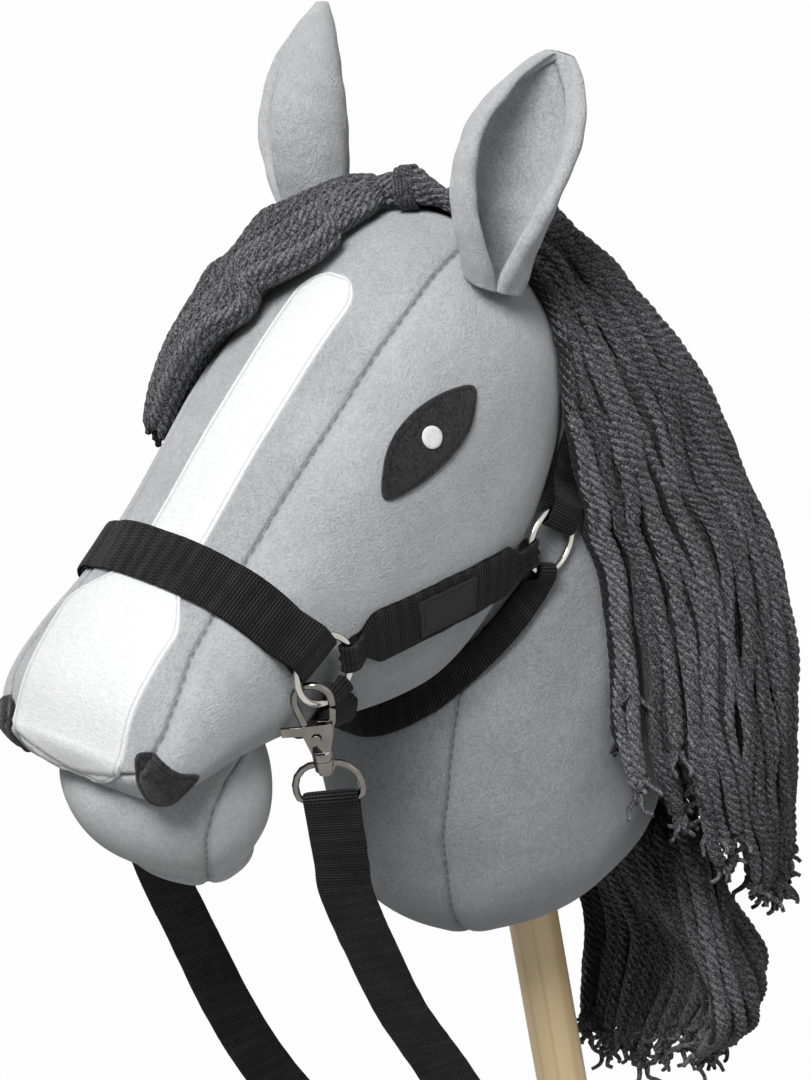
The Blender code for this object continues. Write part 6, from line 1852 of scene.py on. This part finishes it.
make_tie()
print("forelock and tie made")

# %% [markdown]
# ## Stick
# The stick is a plain round rod of pine. It is a profile of heights and radii turned round its middle line,
# with a small chamfer at the foot, and its upper end is hidden in the stuffing.

# %% Stick
STICK_DIAMETER, STICK_INSIDE, STICK_CHAMFER = 0.025, 0.168, 0.0015


def make_stick(sides=96):
    """Rings of the stick from its foot to its hidden top end."""
    radius, top = STICK_DIAMETER / 2, STICK_FREE + STICK_INSIDE
    heights = [0, 0, STICK_CHAMFER, *np.linspace(0.01, top - STICK_CHAMFER, 60), top, top]
    ends = [radius * 0.3, radius - STICK_CHAMFER]
    sizes = [*ends, *[radius] * 61, *ends[::-1]]
    turn = np.linspace(0, 2 * math.pi, sides, endpoint=False)
    ring = np.stack([np.cos(turn), np.sin(turn), 0 * turn], -1)
    grid = np.array([ring * size + UP * z for z, size in zip(heights, sizes)])
    loop = np.linspace(0, math.pi * STICK_DIAMETER, sides + 1)
    made = Builder().grid(grid, loop, np.array(heights), closed=True, caps=True)
    made = made.make("stick_pine", "horse", "pine", PINE, smooth=40)
    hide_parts("stick")
    print("stick", round(top, 3), "m long")


make_stick()

# %% [markdown]
# ## Light and stage
# Plain soft studio light from above and slightly from the front left, on a pale floor and backdrop. The
# background looks white by the Light Path node alone, so that no extra light falls on the toy.

# %% Pale floor
def join_by_ray(s, output, others, seen):
    """Gives the shader seen to camera, mirrored and refracted rays, and the shader others to the rest."""
    path = s.node("ShaderNodeLightPath")
    share = path.outputs["Is Camera Ray"]
    for name in ("Is Glossy Ray", "Is Transmission Ray"):
        share = s.math("MAXIMUM", share, path.outputs[name])
    mix = s.node("ShaderNodeMixShader", {0: share, 1: others.outputs[0], 2: seen.outputs[0]})
    s.node(output, {0: mix.outputs[0]})


def pale_material(name, level):
    """Looks evenly pale to the camera and to reflections, and bounces light like a matt floor."""
    made = bpy.data.materials.new(name)
    made.use_nodes = True
    made.node_tree.nodes.clear()
    s = Nodes(made.node_tree)
    matt = s.node("ShaderNodeBsdfDiffuse", {"Color": (0.6, 0.6, 0.6, 1)})
    glow = s.node("ShaderNodeEmission", {"Color": (level, level, level, 1)})
    join_by_ray(s, "ShaderNodeOutputMaterial", matt, glow)
    return made


def make_floor(size=12.0):
    """A level floor under the stick's foot."""
    t = np.linspace(-size, size, 3)
    x, y = np.meshgrid(t, t)
    mesh = bpy.data.meshes.new("floor")
    points = np.stack([x, y, np.full_like(x, -0.0005)], -1).reshape(-1, 3).tolist()
    faces = [(0, 1, 4, 3), (1, 2, 5, 4), (3, 4, 7, 6), (4, 5, 8, 7)]
    mesh.from_pydata(points, [], faces)
    made = bpy.data.objects.new("floor", mesh)
    bpy.context.scene.collection.objects.link(made)
    mesh.materials.append(pale_material("pale_floor", 0.985))


make_floor()
print("floor laid")


# %% World
def make_world():
    """White to the camera and in reflections. Everything else sees a soft sky: bright above, dim at the
    horizon and below."""
    world = bpy.data.worlds.new("studio")
    bpy.context.scene.world = world
    world.use_nodes = True
    world.node_tree.nodes.clear()
    s = Nodes(world.node_tree)
    split = s.node("ShaderNodeSeparateXYZ", {0: s.node("ShaderNodeTexCoord").outputs["Generated"]})
    ramp = s.node("ShaderNodeValToRGB", {0: split.outputs[2]})
    stops = ramp.color_ramp.elements
    stops[0].position, stops[0].color = 0.0, (0.10, 0.10, 0.10, 1)
    stops[1].position, stops[1].color = 0.75, (1.0, 1.0, 1.0, 1)
    stops.new(0.2).color = (0.32, 0.32, 0.32, 1)
    sky = s.node("ShaderNodeBackground", {0: ramp.outputs[0], 1: 0.34})
    plain = s.node("ShaderNodeBackground", {0: (1, 1, 1, 1)})
    join_by_ray(s, "ShaderNodeOutputWorld", sky, plain)


make_world()
print("world made")

# %% Lamps
LIT = (0.0, -0.05, 0.9)  # what both lamps point at


def make_light(name, place, size, power):
    """A soft square lamp that points at the toy."""
    data = bpy.data.lights.new(name, "AREA")
    data.shape, data.size, data.energy = "SQUARE", size, power
    made = bpy.data.objects.new(name, data)
    made.location = place
    made.rotation_euler = (Vector(LIT) - Vector(place)).to_track_quat("-Z", "Y").to_euler()
    bpy.context.scene.collection.objects.link(made)


make_light("key", (0.75, -1.1, 2.9), 0.9, 68.0)
make_light("side", (2.2, 0.3, 1.9), 1.4, 4.0)
bpy.context.scene.view_settings.view_transform = "Standard"
print("lamps made")
